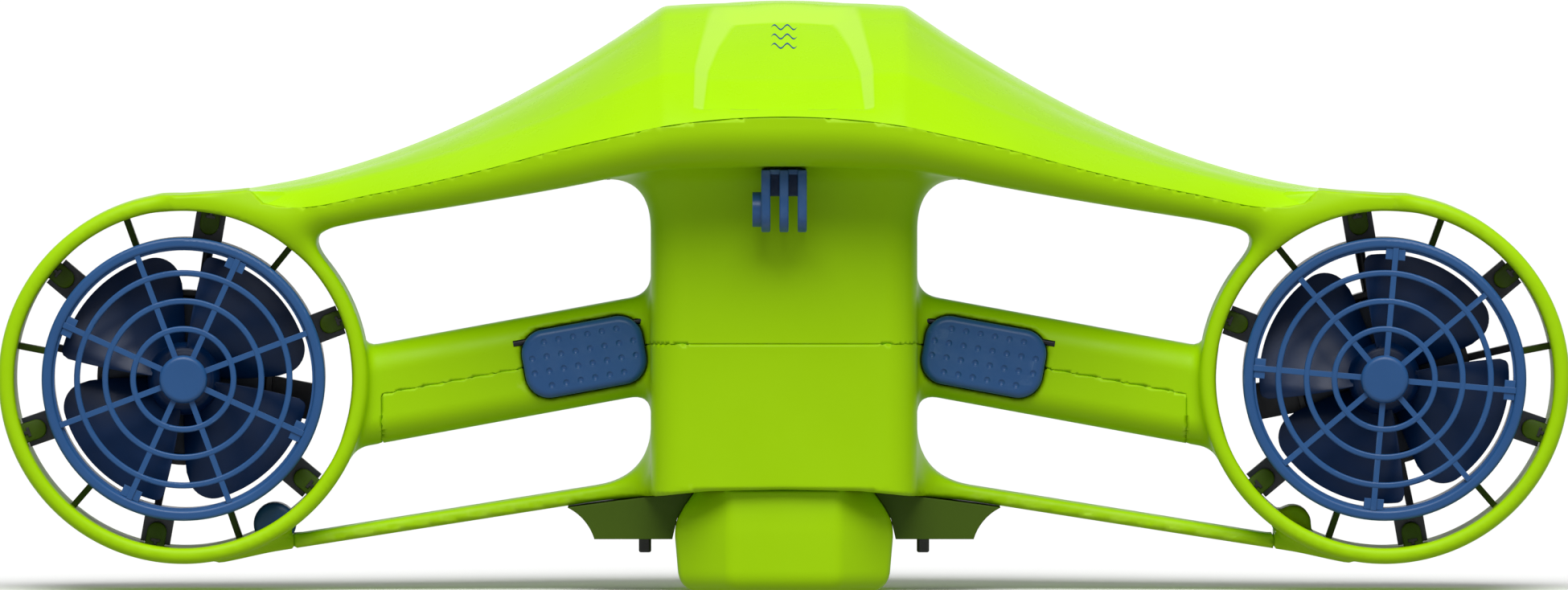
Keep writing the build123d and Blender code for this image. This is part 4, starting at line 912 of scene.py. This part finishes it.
pod = skin("pod_shell", pod_field, np.array([-37, -41, -1]), np.array([37, 41, 35]), STEP, BATTERY)
pod.data.materials.append(MATERIALS["green_satin"])
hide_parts("battery_case")
case_in = (CASE_HALF[0] - CASE_WALL, CASE_HALF[1] - CASE_WALL)
tube = band([
    rounded_rectangle(*CASE_HALF, 5.0, POD_TOP - 0.5),
    rounded_rectangle(*CASE_HALF, 5.0, CASE_TOP - 0.3),
    rounded_rectangle(CASE_HALF[0] - 0.3, CASE_HALF[1] - 0.3, 4.7, CASE_TOP),
    rounded_rectangle(*case_in, 3.5, CASE_TOP),
    rounded_rectangle(*case_in, 3.5, POD_TOP - 0.5),
])
joined_piece("case_walls", [tube], BATTERY, "green_satin")


# ---------------------------------------------------------------- camera foot
foot_low, foot_high = box_mm("camera_mount")
PRONG_R = (foot_high[1] - foot_low[1]) / 2
PRONG_THICK = 3.0
AXLE_R = 2.55
AXLE_Y = (foot_low[1] + foot_high[1]) / 2
AXLE_Z = foot_low[2] + PRONG_R
FOOT_TOP = foot_high[2]
BOSS_R = 5.75


def prong(x_from, x_to, soft=0.35):
    """One plate of the camera foot: round end, axle hole, softened edges."""
    turns = np.linspace(0, 2 * math.pi, 73)[:-1]
    flats = []
    for t in turns:
        depth, rise = math.cos(t), math.sin(t)
        if rise <= 0:
            flats.append((PRONG_R * depth, PRONG_R * rise))
        else:
            tall = FOOT_TOP - AXLE_Z
            scale = min(PRONG_R / max(abs(depth), 1e-6), tall / rise)
            flats.append((scale * depth, scale * rise))
    outer = np.array(flats)
    hole = AXLE_R * np.column_stack([np.cos(turns), np.sin(turns)])
    shrink = outer * (1 - soft / PRONG_R)
    layers = [(x_from, hole), (x_from, shrink), (x_from + soft, outer), (x_to - soft, outer),
              (x_to, shrink), (x_to, hole)]
    loops = [
        np.column_stack([np.full(len(flat), x), AXLE_Y + flat[:, 0], AXLE_Z + flat[:, 1]])
        for x, flat in layers
    ]
    return band(loops)


def block(low, high, soft=0.4):
    """Box with softened edges at its front and back."""
    loops = []
    for y, inset in ((high[1], soft), (high[1] - soft, 0), (low[1] + soft, 0), (low[1], soft)):
        loops.append(front_loop([
            (low[0] + inset, low[2] + inset), (high[0] - inset, low[2] + inset),
            (high[0] - inset, high[2]), (low[0] + inset, high[2]),
        ], y))
    return stack(loops)


def nut_boss():
    """Round boss for the nut, on the outside of the left prong."""
    points, faces = prong(foot_low[0], -7.4)
    reach = points - np.array([0, AXLE_Y, AXLE_Z])
    size = np.hypot(reach[:, 1], reach[:, 2])
    scale = np.minimum(1.0, BOSS_R / size)
    points[:, 1] = AXLE_Y + reach[:, 1] * scale
    points[:, 2] = AXLE_Z + reach[:, 2] * scale
    return points, faces


foot_parts = [prong(x, x + PRONG_THICK) for x in (-7.5, -1.5, 4.5)]
# web between the prongs, set back from their faces, and the roof that joins them to the wing
foot_parts.append(block((-7.4, AXLE_Y + 3.6, 131.0), (7.4, foot_high[1] - 0.2, FOOT_TOP)))
foot_parts.append(
    block((-7.4, foot_low[1] + 0.8, FOOT_TOP - 1.6), (7.4, foot_high[1] - 0.1, FOOT_TOP))
)
foot_parts.append(nut_boss())
foot = joined_piece("camera_foot", foot_parts, "body", "blue_satin")
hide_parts("camera_mount")

# ---------------------------------------------------------------- generic mark on the hood
line = hood_face[len(hood_face) // 2]
upper_half = line[: len(line) // 2]
MARK_WIDE = 8.6
MARK_R = 0.55
PANEL_LEAN = 0.44           # radians that the panel leans back where the mark lies


def on_panel(z):
    """Depth of the hood's middle line at a height."""
    order = np.argsort(upper_half[:, 2])
    return float(np.interp(z, upper_half[order, 2], upper_half[order, 1]))


def wave_stroke(z_mid):
    """One wavy stroke lying on the panel, as a closed tube."""
    loops = []
    for t in np.linspace(0, 1, 33):
        x = (t - 0.5) * MARK_WIDE
        z = z_mid + 0.75 * math.sin(t * 4 * math.pi)
        radius = MARK_R * min(1.0, 0.15 + 6 * min(t, 1 - t))
        turns = np.linspace(0, 2 * math.pi, 13)[:-1]
        rise = np.array([0.0, math.cos(PANEL_LEAN), math.sin(PANEL_LEAN)])
        out = np.array([0.0, -math.sin(PANEL_LEAN), math.cos(PANEL_LEAN)])
        centre = np.array([x, on_panel(z), z])
        loops.append(np.array([
            centre + radius * (math.cos(a) * rise + 0.5 * math.sin(a) * out) for a in turns
        ]))
    return stack(loops)


joined_piece("wave_mark", [wave_stroke(z) for z in (180.4, 183.4, 186.4)], "body", "blue_satin",
             60)


# ---------------------------------------------------------------- propellers
BLADE_TIP = 41.3
HUB_R = 12.0
BLADE_MID_Y = -11.0
BLADE_PITCH = 9.0           # how far the blade comes forward per radian
ROUND_TIP = 10.0            # radius of the tip corner that trails
SHARP_TIP = 2.5
PROP_GAP = {-1: 86.4, 1: 16.0}


def blade(side, middle):
    """Wide helical blade, thickest at its root, its trailing tip corner well rounded."""
    spans = np.concatenate(
        [np.linspace(0, 0.26, 15), np.linspace(0.3, 0.92, 24), np.linspace(0.93, 1, 6)]
    )
    levels = np.linspace(0, 1, 22)
    sweep_tip, sweep_root = math.radians(77.0), math.radians(86.0)
    grids = []
    for face in (-1, 1):
        grid = np.zeros((len(spans), len(levels), 3))
        for i, u in enumerate(spans):
            arc = u * sweep_tip * BLADE_TIP
            left = (1 - u) * sweep_tip * BLADE_TIP
            tip = BLADE_TIP
            if arc < ROUND_TIP:
                tip -= ROUND_TIP - math.sqrt(ROUND_TIP**2 - (ROUND_TIP - arc) ** 2)
            if left < SHARP_TIP:
                tip -= SHARP_TIP - math.sqrt(SHARP_TIP**2 - (SHARP_TIP - left) ** 2)
            for j, v in enumerate(levels):
                radius = HUB_R - 1.5 + (tip - HUB_R + 1.5) * v
                share = (radius - HUB_R) / (BLADE_TIP - HUB_R)
                sweep = sweep_root + (sweep_tip - sweep_root) * min(1.0, max(0.0, share))
                off = (u - 0.5) * sweep
                turn = math.radians(middle) + off
                thick = (1.9 - 0.8 * share) * (0.35 + 0.65 * math.sin(math.pi * min(1, max(0, u))) ** 0.5)
                lean = math.atan2(BLADE_PITCH, radius)
                cup = 0.9 * math.sin(math.pi * u) * share
                grid[i, j] = (
                    side * RING_X + radius * math.cos(turn),
                    BLADE_MID_Y - BLADE_PITCH * off + cup + face * thick / 2 / math.cos(lean),
                    RING_Z + radius * math.sin(turn),
                )
        grids.append(grid)
    rows, columns = len(spans), len(levels)
    count = rows * columns
    points = np.concatenate([g.reshape(-1, 3) for g in grids])
    faces = grid_faces(rows, columns, 0, False).tolist()
    faces += grid_faces(rows, columns, count, True).tolist()
    border = border_of(rows, columns)
    for a, b in zip(border, border[1:] + border[:1]):
        faces.append([b, a, a + count, b + count])
    return points, faces


for name, side in (("left", -1), ("right", 1)):
    parts = [blade(side, PROP_GAP[side] + 45 + 90 * k) for k in range(4)]
    hub = [(2.55, -3.0), (2.55, -19.0), (7.0, -19.0), (9.4, -18.6), (11.2, -17.2), (12.0, -15.0),
           (12.0, -4.0), (11.0, -3.0)]
    parts.append(turned_ring(hub, (side * RING_X, RING_Z), 96))
    propeller = joined_piece(f"screw_blades_{name}", parts, f"screw_{name}", "navy_blade",
                             50)
    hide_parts(f"propeller_{name}")


# ---------------------------------------------------------------- floor, light and camera
def area_light(name, place, target, size, size_y, watts):
    data = bpy.data.lights.new(name, "AREA")
    data.shape = "RECTANGLE"
    data.size = size
    data.size_y = size_y
    data.energy = watts
    lamp = bpy.data.objects.new(name, data)
    lamp.location = place
    aim = Vector(target) - Vector(place)
    lamp.rotation_euler = aim.to_track_quat("-Z", "Y").to_euler()
    bpy.context.scene.collection.objects.link(lamp)


FLOOR_FAR = 24.0            # the floor starts to curve up here, in metres
FLOOR_BEND = 6.0


def studio_floor():
    """Round floor that curves up into a wall far away, in metres."""
    profile = [(0.001, 0.0), (6.0, 0.0), (FLOOR_FAR, 0.0)]
    for t in np.linspace(0.1, math.pi / 2, 16):
        out, rise = FLOOR_BEND * math.sin(t), FLOOR_BEND * math.cos(t)
        profile.append((FLOOR_FAR + out, FLOOR_BEND - rise))
    profile.append((FLOOR_FAR + FLOOR_BEND, 2 * FLOOR_BEND))
    turns = np.linspace(0, 2 * math.pi, 97)[:-1]
    points = [(r * math.cos(t), r * math.sin(t), z) for r, z in profile for t in turns]
    faces = grid_faces(len(profile), len(turns), 0, True).tolist()
    count = len(turns)
    for i in range(len(profile) - 1):
        a, b = i * count + count - 1, i * count
        faces.append([a, b, b + count, a + count])
    mesh = bpy.data.meshes.new("floor")
    mesh.from_pydata(points, [], faces)
    mesh.shade_smooth()
    return mesh


floor_mesh = studio_floor()
floor = bpy.data.objects.new("floor", floor_mesh)
bpy.context.scene.collection.objects.link(floor)
floor_look, _, floor_shader, _ = new_material("floor")
floor_shader.inputs["Roughness"].default_value = 0.9
floor_shader.inputs["Specular IOR Level"].default_value = 0.1
floor_shader.inputs["Base Color"].default_value = (0.9, 0.9, 0.9, 1)
floor_mesh.materials.append(floor_look)
# the floor is seen, but throws no light up under the object
floor.visible_diffuse = False

world = bpy.data.worlds.new("studio")
world.use_nodes = True
world.node_tree.nodes["Background"].inputs["Color"].default_value = (1, 1, 1, 1)
world.node_tree.nodes["Background"].inputs["Strength"].default_value = 0.38
bpy.context.scene.world = world


def sun(name, towards, strength, spread):
    """Very broad sun, which lights the whole floor evenly."""
    data = bpy.data.lights.new(name, "SUN")
    data.energy = strength
    data.angle = math.radians(spread)
    lamp = bpy.data.objects.new(name, data)
    lamp.rotation_euler = Vector(towards).to_track_quat("-Z", "Y").to_euler()
    bpy.context.scene.collection.objects.link(lamp)


sun("key", (0.0, 0.7, -1.0), 3.0, 45)
area_light("strip", (0, -1.5, 1.05), (0, 0, 0.16), 1.3, 0.16, 1.0)

camera_data = bpy.data.cameras.new("camera")
camera_data.sensor_width = 36.0
camera_data.lens = 832.4
camera_data.clip_end = 100.0
camera = bpy.data.objects.new("camera", camera_data)
bpy.context.scene.collection.objects.link(camera)
CAMERA_FAR = 12.0
CAMERA_UP = math.radians(1.0)
target = Vector((0, 0, 0.0975))
away = Vector((0, -math.cos(CAMERA_UP), math.sin(CAMERA_UP)))
camera.location = target + away * CAMERA_FAR
camera.rotation_euler = (-away).to_track_quat("-Z", "Y").to_euler()
bpy.context.scene.camera = camera
bpy.context.scene.view_settings.view_transform = "Standard"
